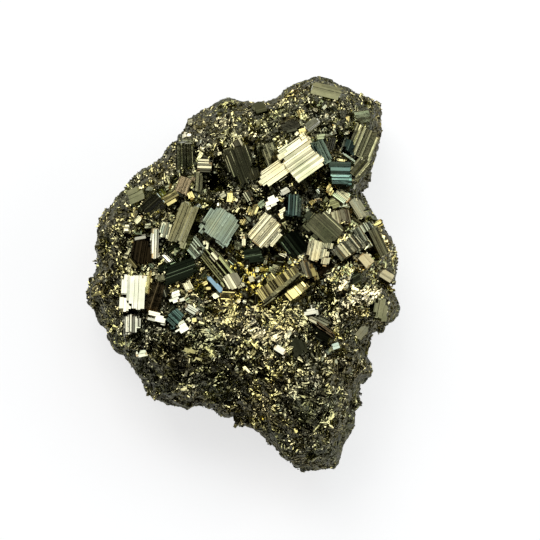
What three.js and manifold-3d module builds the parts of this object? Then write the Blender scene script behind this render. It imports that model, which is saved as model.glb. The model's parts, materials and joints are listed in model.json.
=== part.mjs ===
// A pyrite specimen: a granular lump crusted with striated cubes, lying on its broken back.
import * as THREE from 'three';
import { mergeVertices } from 'three/addons/utils/BufferGeometryUtils.js';
import Module from 'manifold-3d';

const wasm = await Module();
wasm.setup();

// Driving dimensions in millimetres, angles in degrees.
// Plan places are measured from the middle of the crystal hollow, +X to the right and +Y to the tall lobe.
const PLAN_SHIFT = { x: -0.25, y: 0.2 };
const PLATEAU_HEIGHT = 31;
const RIM_HEIGHT = 12;
const RIM_WAVES = [
  { count: 2, phase: 0.6, height: 2.2 },
  { count: 5, phase: 0, height: 1.1 },
];
const TOP_ROUNDNESS = 2.6;
const BASE_SHARE = 0.82;
const TOP_RINGS = [0.992, 0.968, 0.92, 0.85, 0.76, 0.66, 0.56, 0.46, 0.36, 0.26, 0.16, 0.07];
const UNDERSIDE_RINGS = [0.992, 0.96, 0.91];
const FLANK_SHARE = 0.84;
const FEWEST_IN_RING = 6;
const SURFACE_UNEVENNESS = 0.9;
const PLAN_UNEVENNESS = 0.6;
const FLANK_LEDGE = 1.9;

const PYRITE = { color: 0xb5a878, roughness: 0.3, metalness: 0.9 };

// The outline seen from above, anticlockwise from the right-hand side.
const OUTLINE = [
  [31.3, 3], [30.9, 5], [30, 6.8], [28.7, 8.8], [26.8, 11.4], [25.5, 13.5], [24.5, 15.6],
  [23.4, 16.6], [23.3, 18], [24.7, 19.5], [26.5, 21.8], [27.5, 25.5], [28.2, 28], [28, 31],
  [28, 34], [26, 34.8], [23.5, 35.6], [21.3, 37.2], [20.2, 37.2], [18, 38.5], [15.5, 39.3],
  [13, 38.4], [10.5, 37.6], [8.6, 36.4], [7.5, 35.2], [6, 34.3], [3, 34.1], [0, 34.2],
  [-2.4, 35], [-4.5, 34.1], [-6.5, 33], [-9, 31.7], [-10.7, 30.8], [-10.9, 29.2], [-12.4, 27.5],
  [-12.7, 26.3], [-14.5, 25.2], [-16, 22.9], [-18.5, 21.2], [-20.3, 20.3], [-22.4, 18.2],
  [-23.4, 16.3], [-24.8, 15.2], [-26.4, 12.9], [-28.3, 10.9], [-28.6, 9], [-28.8, 6.9],
  [-29.2, 5], [-28.6, 2.4], [-29, 0.2], [-29.8, -1.8], [-31.1, -3.8], [-30, -6.3], [-29.3, -8],
  [-28.3, -10], [-26.8, -11.4], [-26.6, -13], [-25.3, -15.7], [-23.5, -16.5], [-22, -18.5],
  [-20.3, -21], [-19, -23.6], [-17, -25.4], [-14.2, -26.5], [-11.2, -26.9], [-8.5, -26.6],
  [-5.6, -27.6], [-3, -29], [-0.8, -28.6], [0.9, -28.7], [1.6, -30.6], [4, -32.6],
  [6.5, -34.5], [8.7, -37.4], [11, -38.9], [14, -39.7], [17, -39.3], [18.8, -39.2],
  [19.9, -37], [20.3, -34.8], [21.7, -32.7], [22.6, -31], [22.8, -28.5], [23.2, -26],
  [23.9, -22.6], [25.5, -21.2], [26.4, -19.7], [26, -17.9], [25, -16.9], [25.9, -14.6],
  [25.4, -12.5], [27.5, -11.2], [29.5, -10.3], [31.3, -8.8], [31.7, -7], [31.1, -4.8],
  [30, -3.3], [28.8, -2.6], [30.2, -1.1], [31, 0.6],
];

// Rises and hollows of the upper side: a positive height is a lump, a negative one a pit.
const LUMPS = [
  { at: [18, 32], radius: 10, height: 7 },
  { at: [-5, 30], radius: 7, height: 2 },
  { at: [-3, 3], radius: 12, height: -6 },
  { at: [11, 8], radius: 7, height: -1.5 },
  { at: [5, -12], radius: 10, height: 4.5 },
  { at: [26, 4], radius: 6, height: 4 },
  { at: [26, -7], radius: 5, height: 4.5 },
  { at: [27, -2.5], radius: 2.2, height: -4 },
  { at: [14, -30], radius: 9, height: 4 },
  { at: [9, -32], radius: 3, height: -2.5 },
  { at: [19, -27], radius: 3.5, height: 2 },
  { at: [15, -36], radius: 3.5, height: 2.5 },
  { at: [0, -25], radius: 5, height: -3.5 },
  { at: [-13, -17], radius: 8, height: 1.5 },
  { at: [-21, -12], radius: 5, height: 1.5 },
  { at: [-4.5, 18.5], radius: 2.6, height: -6 },
  { at: [14, 17], radius: 2.3, height: -5 },
  { at: [20.5, 25.5], radius: 2.3, height: -4 },
  { at: [1.5, -7], radius: 2.6, height: -4.5 },
  { at: [-5, -5.5], radius: 2.4, height: -4 },
  { at: [9, 2], radius: 3, height: -4 },
  { at: [15.5, -5.5], radius: 2.8, height: -3.5 },
  { at: [19.5, -8.5], radius: 2.8, height: -4 },
  { at: [23, -12.5], radius: 3, height: -4 },
  { at: [-21, 8], radius: 3.2, height: -3 },
];

// The large cubes. at is the middle of the upper face in plan, size its length, width and depth,
// bearing the direction of its length, lean its tilt, toward the way that it tilts, and rise how far
// its middle stands above the granular mass. cuts are the corners that a cube lacks, each as its reach
// along the width and along the length: start right, start left, end right and end left, seen along
// the bearing.
const CRYSTALS = [
  { at: [-11.1, 23.3], size: [4.9, 4.1, 6], bearing: 90, lean: 24, toward: 200, rise: 1.6 },
  { at: [-7.2, 21.3], size: [2.9, 2.7, 4], bearing: -3, lean: 17, toward: 110, rise: 1.2 },
  { at: [0, 21.2], size: [7.4, 5.6, 8], bearing: -70, lean: 12, toward: 285, rise: 2.2,
    cuts: [[1.2, 1.2], [0, 0], [1.2, 3], [2.6, 3.4]] },
  { at: [6, 23.5], size: [4.6, 3.3, 5], bearing: -70, lean: 22, toward: 20, rise: 1.2 },
  { at: [3.8, 33], size: [2.4, 2.4, 4], bearing: 15, lean: 30, toward: 100, rise: 1 },
  { at: [12.05, 22.8], size: [7.2, 7.7, 8], bearing: 36, lean: 16, toward: 112, rise: 2.4,
    cuts: [[0, 0], [2.2, 2], [0.8, 0.8], [1.6, 1.6]] },
  { at: [6.3, 19.6], size: [6.5, 3.4, 6], bearing: 36, lean: 18, toward: 105, rise: 1.8 },
  { at: [16.4, 24], size: [4.9, 2.2, 6], bearing: -64, lean: 24, toward: 26, rise: 2 },
  { at: [19.8, 19.8], size: [4.6, 4.6, 6], bearing: 0, lean: 20, toward: 60, rise: 2,
    cuts: [[3.5, 0.4], [0, 0], [3.5, 0.6], [0, 0]] },
  { at: [24.4, 25.8], size: [6, 5.6, 8], bearing: 66, lean: 26, toward: -12, rise: 1.6 },
  { at: [24, 21.2], size: [5, 3.2, 6], bearing: 50, lean: 28, toward: -40, rise: 1.4 },
  { at: [17, 36.2], size: [6, 3, 6], bearing: -15, lean: 34, toward: 80, rise: 1 },
  { at: [24.2, 31], size: [3.2, 2.4, 5], bearing: 10, lean: 20, toward: 30, rise: 1.4 },
  { at: [9.8, 29], size: [3.8, 2.2, 5], bearing: 15, lean: 10, toward: 260, rise: 1.2 },
  { at: [20.2, 15.4], size: [3.2, 2.4, 5], bearing: -37, lean: 18, toward: 100, rise: 1.4 },
  { at: [-11.5, 9.6], size: [8.8, 3.7, 7], bearing: 68, lean: 20, toward: 165, rise: 2.6,
    cuts: [[3.2, 1.2], [0, 0], [0, 0], [3.2, 1]] },
  { at: [-14, 14.8], size: [3.6, 2.4, 5], bearing: 30, lean: 19, toward: 118, rise: 1.6 },
  { at: [-11.4, 17.4], size: [3.5, 2.7, 5], bearing: 70, lean: 15, toward: 150, rise: 1.4 },
  { at: [-21, 15.5], size: [3.6, 3.2, 6], bearing: 20, lean: 34, toward: 140, rise: 1.2 },
  { at: [-17.6, 13.4], size: [4.6, 3.4, 6], bearing: 41, lean: 22, toward: 215, rise: 1.6 },
  { at: [-17.1, 5.8], size: [6.4, 1.5, 5], bearing: 90, lean: 20, toward: 120, rise: 1.8 },
  { at: [-14.8, 8.5], size: [3.4, 2.4, 5], bearing: 75, lean: 16, toward: 80, rise: 1.2 },
  { at: [-19.8, 4], size: [5, 4, 6], bearing: 80, lean: 12, toward: 245, rise: 1.2 },
  { at: [-4.15, 9.55], size: [6.3, 6.6, 8], bearing: 57, lean: 15, toward: 60, rise: 3,
    cuts: [[0.6, 0.6], [1.4, 1.8], [1, 0.8], [1.3, 1.1]] },
  { at: [5.15, 8], size: [6.3, 5.6, 7], bearing: 50, lean: 17, toward: 122, rise: 2.8,
    cuts: [[1.3, 1.6], [0.3, 0.3], [1.6, 1.6], [0.4, 0.4]] },
  { at: [6.2, 14.2], size: [2.7, 2.1, 4], bearing: 25, lean: 16, toward: 105, rise: 1.8 },
  { at: [8.5, 11.9], size: [2.2, 1.8, 4], bearing: 30, lean: 20, toward: 115, rise: 1.4 },
  { at: [-12.2, 0.2], size: [7.2, 3.6, 7], bearing: 20, lean: 14, toward: 290, rise: 1.8,
    cuts: [[0, 0], [2.6, 1.6], [1.2, 1.6], [0, 0]] },
  { at: [-4.5, 1.5], size: [8, 3.5, 6], bearing: -51, lean: 12, toward: 45, rise: 1.6 },
  { at: [2.4, 3.4], size: [3.6, 2.8, 5], bearing: 10, lean: 12, toward: 265, rise: 2 },
  { at: [8.2, 2.4], size: [6.6, 2.6, 5], bearing: -6, lean: 16, toward: 250, rise: 1.2 },
  { at: [10.7, 13.4], size: [4.4, 2.8, 6], bearing: 85, lean: 22, toward: 30, rise: 1.8 },
  { at: [16.8, 9], size: [7, 4.8, 7], bearing: -42, lean: 18, toward: 335, rise: 2.4,
    cuts: [[0, 0], [1.8, 1.3], [1.4, 1], [0.4, 0.4]] },
  { at: [15.4, 4.3], size: [4.6, 4.4, 6], bearing: 78, lean: 16, toward: 95, rise: 2.4,
    cuts: [[2, 1.4], [0.8, 0.8], [2, 2], [1.2, 2]] },
  { at: [19.9, 11.2], size: [2.9, 3.6, 6], bearing: -80, lean: 22, toward: 70, rise: 2 },
  { at: [23.5, 13], size: [4.4, 2.4, 5], bearing: -57, lean: 30, toward: 30, rise: 1.6 },
  { at: [25.1, 7.5], size: [5, 4, 6], bearing: -60, lean: 20, toward: 70, rise: 1.6 },
  { at: [27.5, 6.2], size: [6, 2.6, 6], bearing: -63, lean: 38, toward: 20, rise: 1 },
  { at: [21.6, 5.2], size: [3.2, 6.2, 6], bearing: -52, lean: 18, toward: 80, rise: 1.4 },
  { at: [10.6, 5.6], size: [5, 4.2, 6], bearing: -53, lean: 14, toward: 240, rise: 1.2 },
  { at: [13.1, 0.8], size: [4.5, 2, 5], bearing: -72, lean: 20, toward: 150, rise: 2 },
  { at: [7.6, -2.2], size: [3.4, 9.3, 6], bearing: -56, lean: 20, toward: 120, rise: 2.2 },
  { at: [-21.4, -3.9], size: [7.2, 4.7, 7], bearing: 88, lean: 17, toward: 105, rise: 2,
    cuts: [[0, 0], [2.4, 3.2], [0.6, 0.6], [1.2, 1.2]] },
  { at: [-17.2, -4.9], size: [6.6, 3, 6], bearing: 73, lean: 22, toward: 320, rise: 1.6 },
  { at: [-21.6, -10.1], size: [3.8, 3.4, 5], bearing: 90, lean: 17, toward: 100, rise: 1.6 },
  { at: [-16.6, -8.8], size: [4, 1.8, 4], bearing: -15, lean: 16, toward: 110, rise: 1.8 },
  { at: [-13, -8.9], size: [2.6, 3.2, 5], bearing: -45, lean: 14, toward: 60, rise: 1.4 },
  { at: [-11.9, -10.9], size: [2.8, 2.2, 4], bearing: 30, lean: 17, toward: 110, rise: 1.2 },
  { at: [-13.2, -4.9], size: [2.8, 2.2, 4], bearing: 20, lean: 16, toward: 100, rise: 1.4 },
  { at: [11.3, -14.6], size: [3.6, 2.4, 5], bearing: -70, lean: 10, toward: 270, rise: 1.2 },
  { at: [15.4, -9.3], size: [4.4, 2, 5], bearing: -27, lean: 16, toward: 90, rise: 1.8 },
  { at: [16.1, -12.2], size: [3.6, 3, 4], bearing: -29, lean: 12, toward: 270, rise: 1 },
  { at: [24.2, -11.8], size: [3.6, 2, 5], bearing: 50, lean: 34, toward: 320, rise: 1 },
  { at: [27.9, -7.2], size: [4, 3.2, 5], bearing: 80, lean: 34, toward: 345, rise: 0.8 },
];

// Square hollows that lost crystals left between the others. size is length, width and depth from a
// little above the granular mass.
const HOLLOWS = [
  { at: [-5.2, 17.7], size: [4, 4.4, 7], bearing: 85, lean: 6, toward: 200 },
  { at: [20.2, 25.8], size: [2.4, 3.2, 5.5], bearing: 60, lean: 8, toward: 90 },
  { at: [13.4, 16], size: [3.4, 2.4, 5], bearing: 10, lean: 5, toward: 120 },
  { at: [-4.3, -4.9], size: [3, 1.8, 4.5], bearing: -10, lean: 10, toward: 160 },
  { at: [1.8, -6], size: [3.4, 1.9, 4.5], bearing: -20, lean: 8, toward: 30 },
];
const HOLLOW_OPENING = 1.5;

// Blocks of the granular mass that stand out of its flanks, in tiers round the rim. A tier's angle is
// its place on the flank's curve: 0 at the rim, 90 at the plateau.
const FLANK_TIERS = [
  { angle: -24, count: 20 },
  { angle: 8, count: 24 },
  { angle: 38, count: 26 },
];
const TIER_SPREAD = 22;
const FLANK_BLOCK_SIZE = [2.6, 5];
const FLANK_BLOCK_WIDTH_SHARE = 0.8;
const FLANK_BLOCK_STAND = [0.1, 0.7];
const FLANK_BLOCK_LEAN_SPREAD = 30;
const FLANK_BLOCK_JITTER = 0.7;

// Small cubes of the granular crust on the upper side, spread on a spiral and left out near the rim
// and near the large cubes.
const CRUST_SPIRAL = { places: 172, reach: 41 };
const CRUST_EDGE_SHARE = 0.88;
const CRUST_CLEARANCE = 3.4;
const CRUST_CUBE_SIZE = [1.6, 3.2];
const CRUST_CUBE_DEPTH_SHARE = 1.6;
const CRUST_RISE = [0.5, 1.0];
const LARGEST_CRUST_LEAN = 38;

// Where each kind of feature starts in the fixed scatter, so that no two share their values.
const SEED_STEP = 100;
const UNDERSIDE_SEED = 3000;
const BASE_SEED = 5000;
const FLANK_SEED = 7000;
const TIER_SEED_STEP = 500;
const CRUST_SEED = 8100;

const WHOLE = [[0, 0], [0, 0], [0, 0], [0, 0]];

const radians = THREE.MathUtils.degToRad;
const GOLDEN_TURN = Math.PI * (3 - Math.sqrt(5));

// A fixed scatter of values from 0 to 1, the same for the same seed.
function scatter(seed) {
  const value = Math.sin(seed * 127.1 + 11.7) * 43758.5453;
  return value - Math.floor(value);
}

function between([low, high], share) {
  return low + (high - low) * share;
}

const outlineByAngle = OUTLINE
  .map(([x, y]) => ({ angle: Math.atan2(y, x), reach: Math.hypot(x, y) }))
  .sort((a, b) => a.angle - b.angle);

// How far the outline reaches in one direction.
function reachAt(angle) {
  const turn = 2 * Math.PI;
  const wrapped = THREE.MathUtils.euclideanModulo(angle + Math.PI, turn) - Math.PI;
  const after = outlineByAngle.findIndex((corner) => corner.angle > wrapped);
  const next = outlineByAngle[Math.max(after, 0)];
  const last = after > 0 ? outlineByAngle[after - 1] : outlineByAngle[outlineByAngle.length - 1];
  const span = THREE.MathUtils.euclideanModulo(next.angle - last.angle, turn);
  const share = THREE.MathUtils.euclideanModulo(wrapped - last.angle, turn) / span;
  return THREE.MathUtils.lerp(last.reach, next.reach, share);
}

function rimHeightAt(angle) {
  return RIM_WAVES.reduce(
    (height, wave) => height + wave.height * Math.sin(wave.count * angle + wave.phase),
    RIM_HEIGHT,
  );
}

function plateauAt(x, y) {
  return LUMPS.reduce((height, lump) => {
    const distance = Math.hypot(x - lump.at[0], y - lump.at[1]) / lump.radius;
    return height + lump.height * Math.exp(-distance * distance);
  }, PLATEAU_HEIGHT);
}

// Height of the granular mass over a plan place, before its small unevenness.
function massTopAt(x, y) {
  const angle = Math.atan2(y, x);
  const share = Math.min(Math.hypot(x, y) / reachAt(angle), 1);
  const rim = rimHeightAt(angle);
  const fullness = Math.pow(1 - Math.pow(share, TOP_ROUNDNESS), 1 / TOP_ROUNDNESS);
  return rim + (plateauAt(x, y) - rim) * fullness;
}

// Height of the underside, which curves in from the rim to the flat break.
function undersideAt(angle, share) {
  const inward = Math.min(Math.max((share - BASE_SHARE) / (1 - BASE_SHARE), 0), 1);
  return rimHeightAt(angle) * (1 - Math.sqrt(1 - inward * inward));
}

// The rim itself: the outline's own corners.
function makeRim() {
  return outlineByAngle.map(({ angle, reach }, index) => {
    const height = rimHeightAt(angle) + SURFACE_UNEVENNESS * (scatter(index) - 0.5);
    return { angle, point: new THREE.Vector3(reach * Math.cos(angle), reach * Math.sin(angle), height) };
  });
}

// One ring of surface points at a share of the outline's reach, set back here and there into ledges.
function makeRing(share, heightAt, seed, { unevenness = SURFACE_UNEVENNESS, shift = PLAN_UNEVENNESS } = {}) {
  const count = Math.max(FEWEST_IN_RING, Math.round(OUTLINE.length * share));
  const start = outlineByAngle[0].angle;
  const ledge = share > FLANK_SHARE && shift > 0 ? FLANK_LEDGE : 0;
  return Array.from({ length: count }, (_, index) => {
    const angle = start + (2 * Math.PI * (index + 0.5 * scatter(seed + index))) / count;
    const reach = reachAt(angle) * share;
    const height = heightAt(reach * Math.cos(angle), reach * Math.sin(angle), angle);
    const setBack = reach - ledge * scatter(seed + index + 0.45);
    const x = setBack * Math.cos(angle) + shift * (scatter(seed + index + 0.3) - 0.5);
    const y = setBack * Math.sin(angle) + shift * (scatter(seed + index + 0.6) - 0.5);
    const bump = unevenness * 2 * (scatter(seed + index + 0.9) - 0.5);
    return { angle, point: new THREE.Vector3(x, y, height + bump) };
  });
}

// Triangles that join an outer ring to an inner ring of another count, seen from above.
function stitch(outer, inner, triangles, upward) {
  const at = (ring, index) => ring[index % ring.length];
  const angleOf = (ring, index) => at(ring, index).angle + (index >= ring.length ? 2 * Math.PI : 0);
  let i = 0;
  let j = 0;
  while (i < outer.length || j < inner.length) {
    const outerFirst = j >= inner.length
      || (i < outer.length && angleOf(outer, i + 1) <= angleOf(inner, j + 1));
    const corners = outerFirst
      ? [at(outer, i), at(outer, i + 1), at(inner, j)]
      : [at(outer, i), at(inner, j + 1), at(inner, j)];
    if (!upward) {
      corners.reverse();
    }
    triangles.push(...corners.map((corner) => corner.point));
    if (outerFirst) {
      i += 1;
    } else {
      j += 1;
    }
  }
}

function fan(ring, middle, triangles, upward) {
  ring.forEach((corner, index) => {
    const next = ring[(index + 1) % ring.length];
    const corners = [corner.point, next.point, middle];
    triangles.push(...(upward ? corners : corners.reverse()));
  });
}

// The granular mass: an uneven dome over the rim, and an underside that runs in to the flat break.
function makeMass() {
  const triangles = [];
  const rim = makeRim();
  let outer = rim;
  TOP_RINGS.forEach((share, index) => {
    const inner = makeRing(share, massTopAt, SEED_STEP * (index + 1));
    stitch(outer, inner, triangles, true);
    outer = inner;
  });
  fan(outer, new THREE.Vector3(0, 0, massTopAt(0, 0)), triangles, true);
  outer = rim;
  UNDERSIDE_RINGS.forEach((share, index) => {
    const heightAt = (x, y, angle) => undersideAt(angle, share);
    const inner = makeRing(share, heightAt, UNDERSIDE_SEED + SEED_STEP * index);
    stitch(outer, inner, triangles, false);
    outer = inner;
  });
  const base = makeRing(BASE_SHARE, () => 0, BASE_SEED, { unevenness: 0, shift: 0 });
  stitch(outer, base, triangles, false);
  fan(base, new THREE.Vector3(0, 0, 0), triangles, false);
  return new THREE.BufferGeometry().setFromPoints(triangles);
}

// The plan of a cube's upper face, anticlockwise, without the corners that it lacks.
function faceOutline(length, width, cuts) {
  const [startRight, startLeft, endRight, endLeft] = cuts;
  const x = length / 2;
  const y = width / 2;
  const corners = [
    [-x + startRight[1], -y],
    [x - endRight[1], -y],
    [x, -y + endRight[0]],
    [x, y - endLeft[0]],
    [x - endLeft[1], y],
    [-x + startLeft[1], y],
    [-x, y - startLeft[0]],
    [-x, -y + startRight[0]],
  ];
  return corners
    .filter(([u, v], index) => {
      const [nextU, nextV] = corners[(index + 1) % corners.length];
      return u !== nextU || v !== nextV;
    })
    .map(([u, v]) => new THREE.Vector2(u, v));
}

// A cube turned to its bearing, tilted, and sunk so that the middle of its upper face is at `face`.
function makeCube([length, width, depth], bearing, lean, toward, face, cuts = WHOLE) {
  const outline = new THREE.Shape(faceOutline(length, width, cuts));
  const geometry = new THREE.ExtrudeGeometry(outline, { depth, bevelEnabled: false });
  const tiltAxis = new THREE.Vector3(-Math.sin(radians(toward)), Math.cos(radians(toward)), 0);
  geometry.translate(0, 0, -depth);
  geometry.rotateZ(radians(bearing));
  geometry.applyQuaternion(new THREE.Quaternion().setFromAxisAngle(tiltAxis, radians(lean)));
  geometry.translate(face.x, face.y, face.z);
  return geometry;
}

function toSolid(geometry) {
  geometry.deleteAttribute('normal');
  geometry.deleteAttribute('uv');
  const merged = mergeVertices(geometry);
  const triVerts = merged.index
    ? Uint32Array.from(merged.index.array)
    : Uint32Array.from({ length: merged.attributes.position.count }, (_, i) => i);
  const vertProperties = Float32Array.from(merged.attributes.position.array);
  return new wasm.Manifold(new wasm.Mesh({ numProp: 3, vertProperties, triVerts }));
}

function toGeometry(solid) {
  const mesh = solid.getMesh();
  const geometry = new THREE.BufferGeometry();
  geometry.setAttribute('position', new THREE.BufferAttribute(mesh.vertProperties, 3));
  geometry.setIndex(new THREE.BufferAttribute(mesh.triVerts, 1));
  const loose = geometry.toNonIndexed();
  loose.computeVertexNormals();
  return loose;
}

function surfacePoint(x, y, rise) {
  return new THREE.Vector3(x, y, massTopAt(x, y) + rise);
}

function largeCubes() {
  return CRYSTALS.map(({ at, size, bearing, lean, toward, rise, cuts }) => (
    makeCube(size, bearing, lean, toward, surfacePoint(...at, rise), cuts)
  ));
}

function hollows() {
  return HOLLOWS.map(({ at, size, bearing, lean, toward }) => (
    makeCube(size, bearing, lean, toward, surfacePoint(...at, HOLLOW_OPENING))
  ));
}

// A place on the flank's curve round the rim, with the way that the flank faces there.
function flankPlace(angle, climb) {
  const rim = rimHeightAt(angle);
  const share = Math.pow(Math.cos(climb), 2 / TOP_ROUNDNESS);
  const reach = reachAt(angle) * (climb > 0 ? share : BASE_SHARE + (1 - BASE_SHARE) * Math.cos(climb));
  const height = climb > 0
    ? rim + (PLATEAU_HEIGHT - rim) * Math.pow(Math.sin(climb), 2 / TOP_ROUNDNESS)
    : rim + rim * Math.sin(climb);
  return new THREE.Vector3(reach * Math.cos(angle), reach * Math.sin(angle), height);
}

function flankBlock(tier, row, index) {
  const seed = FLANK_SEED + TIER_SEED_STEP * row + index;
  const angle = (2 * Math.PI * (index + FLANK_BLOCK_JITTER * scatter(seed))) / tier.count;
  const climb = radians(tier.angle + TIER_SPREAD * (scatter(seed + 0.2) - 0.5));
  const side = between(FLANK_BLOCK_SIZE, scatter(seed + 0.4));
  const lean = 90 - tier.angle + FLANK_BLOCK_LEAN_SPREAD * (scatter(seed + 0.6) - 0.5);
  const outward = new THREE.Vector3(Math.cos(angle), Math.sin(angle), 0);
  const stand = between(FLANK_BLOCK_STAND, scatter(seed + 0.8)) - FLANK_LEDGE / 2;
  const face = flankPlace(angle, climb).addScaledVector(outward, stand);
  const size = [side, side * FLANK_BLOCK_WIDTH_SHARE, side];
  return makeCube(size, 180 * scatter(seed + 0.9), lean, THREE.MathUtils.radToDeg(angle), face);
}

function flankBlocks() {
  return FLANK_TIERS.flatMap((tier, row) => (
    Array.from({ length: tier.count }, (_, index) => flankBlock(tier, row, index))
  ));
}

function isOpenCrust(x, y) {
  const inside = Math.hypot(x, y) < CRUST_EDGE_SHARE * reachAt(Math.atan2(y, x));
  return inside && CRYSTALS.every(({ at }) => Math.hypot(x - at[0], y - at[1]) > CRUST_CLEARANCE);
}

function crustPlaces() {
  return Array.from({ length: CRUST_SPIRAL.places }, (_, index) => {
    const distance = CRUST_SPIRAL.reach * Math.sqrt((index + 0.5) / CRUST_SPIRAL.places);
    const angle = index * GOLDEN_TURN;
    return [distance * Math.cos(angle), distance * Math.sin(angle)];
  }).filter(([x, y]) => isOpenCrust(x, y));
}

function crustCube([x, y], index) {
  const seed = CRUST_SEED + index;
  const side = between(CRUST_CUBE_SIZE, scatter(seed));
  const face = surfacePoint(x, y, between(CRUST_RISE, scatter(seed + SEED_STEP)));
  const lean = LARGEST_CRUST_LEAN * scatter(seed + 2 * SEED_STEP);
  const bearing = 90 * scatter(seed + 3 * SEED_STEP);
  const toward = 360 * scatter(seed + 4 * SEED_STEP);
  return makeCube([side, side, side * CRUST_CUBE_DEPTH_SHARE], bearing, lean, toward, face);
}

const mass = hollows().map(toSolid).reduce((solid, hollow) => solid.subtract(hollow), toSolid(makeMass()));
const cubes = [...largeCubes(), ...flankBlocks(), ...crustPlaces().map(crustCube)].map(toSolid);
const fused = cubes.reduce((solid, cube) => solid.add(cube), mass);

// The mass is solid: hollows that the cubes close off under the surface are left out.
const [outerShell] = fused.decompose().sort((a, b) => b.volume() - a.volume());

const cluster = new THREE.Mesh(
  toGeometry(outerShell),
  new THREE.MeshStandardMaterial({ ...PYRITE, flatShading: true }),
);
cluster.name = 'pyrite_cluster';

const specimen = new THREE.Group();
specimen.add(cluster);
specimen.position.set(PLAN_SHIFT.x, PLAN_SHIFT.y, 0);

export default specimen;
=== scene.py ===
import json
import logging
import math
import random
from collections.abc import Iterable, Mapping, Sequence
from dataclasses import dataclass, field
from enum import Enum

import bmesh
import bpy
import numpy as np
from mathutils import Euler, Matrix, Quaternion, Vector
from mathutils.bvhtree import BVHTree

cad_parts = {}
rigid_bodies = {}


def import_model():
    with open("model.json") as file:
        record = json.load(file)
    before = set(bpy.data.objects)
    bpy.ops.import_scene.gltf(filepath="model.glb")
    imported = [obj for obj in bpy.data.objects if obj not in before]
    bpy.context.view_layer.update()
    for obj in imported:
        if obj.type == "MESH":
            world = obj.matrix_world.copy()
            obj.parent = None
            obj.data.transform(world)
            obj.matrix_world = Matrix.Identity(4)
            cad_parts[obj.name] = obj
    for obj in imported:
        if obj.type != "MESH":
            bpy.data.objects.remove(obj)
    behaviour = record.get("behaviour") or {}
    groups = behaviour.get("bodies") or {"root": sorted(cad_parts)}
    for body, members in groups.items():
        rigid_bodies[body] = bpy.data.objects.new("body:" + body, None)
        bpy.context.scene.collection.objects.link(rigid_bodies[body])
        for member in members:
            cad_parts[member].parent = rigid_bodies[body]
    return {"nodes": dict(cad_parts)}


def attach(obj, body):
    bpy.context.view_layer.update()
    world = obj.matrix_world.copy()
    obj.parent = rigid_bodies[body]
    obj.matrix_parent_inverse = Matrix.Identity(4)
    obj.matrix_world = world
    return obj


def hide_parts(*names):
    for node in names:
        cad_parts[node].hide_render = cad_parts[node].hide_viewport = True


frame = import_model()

MM = 0.001
NODE = "pyrite_cluster"
BODY = "root"
PLAN_SHIFT = Vector((-0.25, 0.2))
KEY_LIGHT_AZIMUTH = 110.0
KEY_LIGHT_POLAR = 34.0
TO_KEY_LIGHT = (KEY_LIGHT_AZIMUTH, KEY_LIGHT_POLAR / 2)

# Names of attributes. The tint colours cubes and grains, with tarnish and with painted light and shade, and
# the nodes that grow the grains read them all.
TINT = "tint"
FACING = "facing"
CROWDING = "crowding"
LIT = "lit"
AIM = "aim"
GROWTH = "growth"

Pair = tuple[float, float]
Triple = tuple[float, float, float]
Socket = bpy.types.NodeSocket

log = logging.getLogger("pyrite")


class Tint(Enum):
    """How the pale brass of a cube's faces is recoloured: partly tarnish, partly painted light. DARK and
    FOREST are painted shade for faces that catch little light, and SKY is a painted bluish reflection.
    """

    CREAM = (1.0, 1.0, 1.0)
    WHITE = (1.0, 1.03, 1.25)
    GOLD = (1.05, 0.96, 0.62)
    STRAW = (0.86, 0.83, 0.78)
    OLIVE = (0.82, 0.84, 0.72)
    GREY = (0.92, 0.95, 0.98)
    DARK = (0.44, 0.48, 0.42)
    FOREST = (0.26, 0.36, 0.32)
    BROWN = (0.46, 0.36, 0.28)
    TEAL = (0.46, 0.68, 0.82)
    PALE_BLUE = (0.92, 1.02, 1.08)
    SKY = (0.9, 1.3, 2.3)
    PINK = (1.0, 0.82, 0.72)


BRIGHT_TINTS = (Tint.CREAM, Tint.WHITE, Tint.STRAW, Tint.GOLD, Tint.PINK)


@dataclass(frozen=True)
class Terracing:
    """How a striated face is stepped. Lengths are in mm and the tilt is in degrees.

    narrowest and widest are the widths of its strips, step the deepest step between them, tilt a
    strip's largest tilt, contrast how much their painted brightness differs, as painted reflection and
    shade, and groove the widest groove.
    """

    narrowest: float
    widest: float
    step: float
    tilt: float
    contrast: float
    groove: float


class Stripe(Enum):
    """The kinds of striated face."""

    FINE = Terracing(0.14, 0.5, 0.08, 4.0, 0.3, 0.13)
    BOLD = Terracing(0.2, 0.62, 0.16, 11.0, 0.9, 0.24)
    SHARP = Terracing(0.14, 0.5, 0.12, 8.0, 0.55, 0.18)
    BROAD = Terracing(0.3, 1.1, 0.1, 3.0, 0.4, 0.16)
    PLAIN = Terracing(0.5, 1.6, 0.06, 2.0, 0.25, 0.1)
    BANDED = Terracing(0.2, 0.75, 0.14, 5.0, 1.2, 0.3)


@dataclass(frozen=True)
class Cube:
    """One cube of the cluster. Lengths are in mm and angles in degrees.

    at is the middle of its upper face in plan, size its length, width and depth, bearing the way that
    its stripes run, lean its tilt, toward the way that it tilts. rise is how far it stands above the
    solid where the solid has no cube of its own there. cuts are the corners that it lacks, each as its
    reach along the width and along the length: start right, start left, end right and end left. shine
    is painted light: it makes its faces brighter or duller than its tint, standing in for how much
    light each face reflects.
    """

    at: Pair
    size: Triple
    bearing: float
    lean: float
    toward: float
    tint: Tint = Tint.OLIVE
    stripe: Stripe = Stripe.FINE
    rise: float = 0.0
    cuts: tuple[Pair, ...] = ()
    painted_shine: float = 1.0


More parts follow.
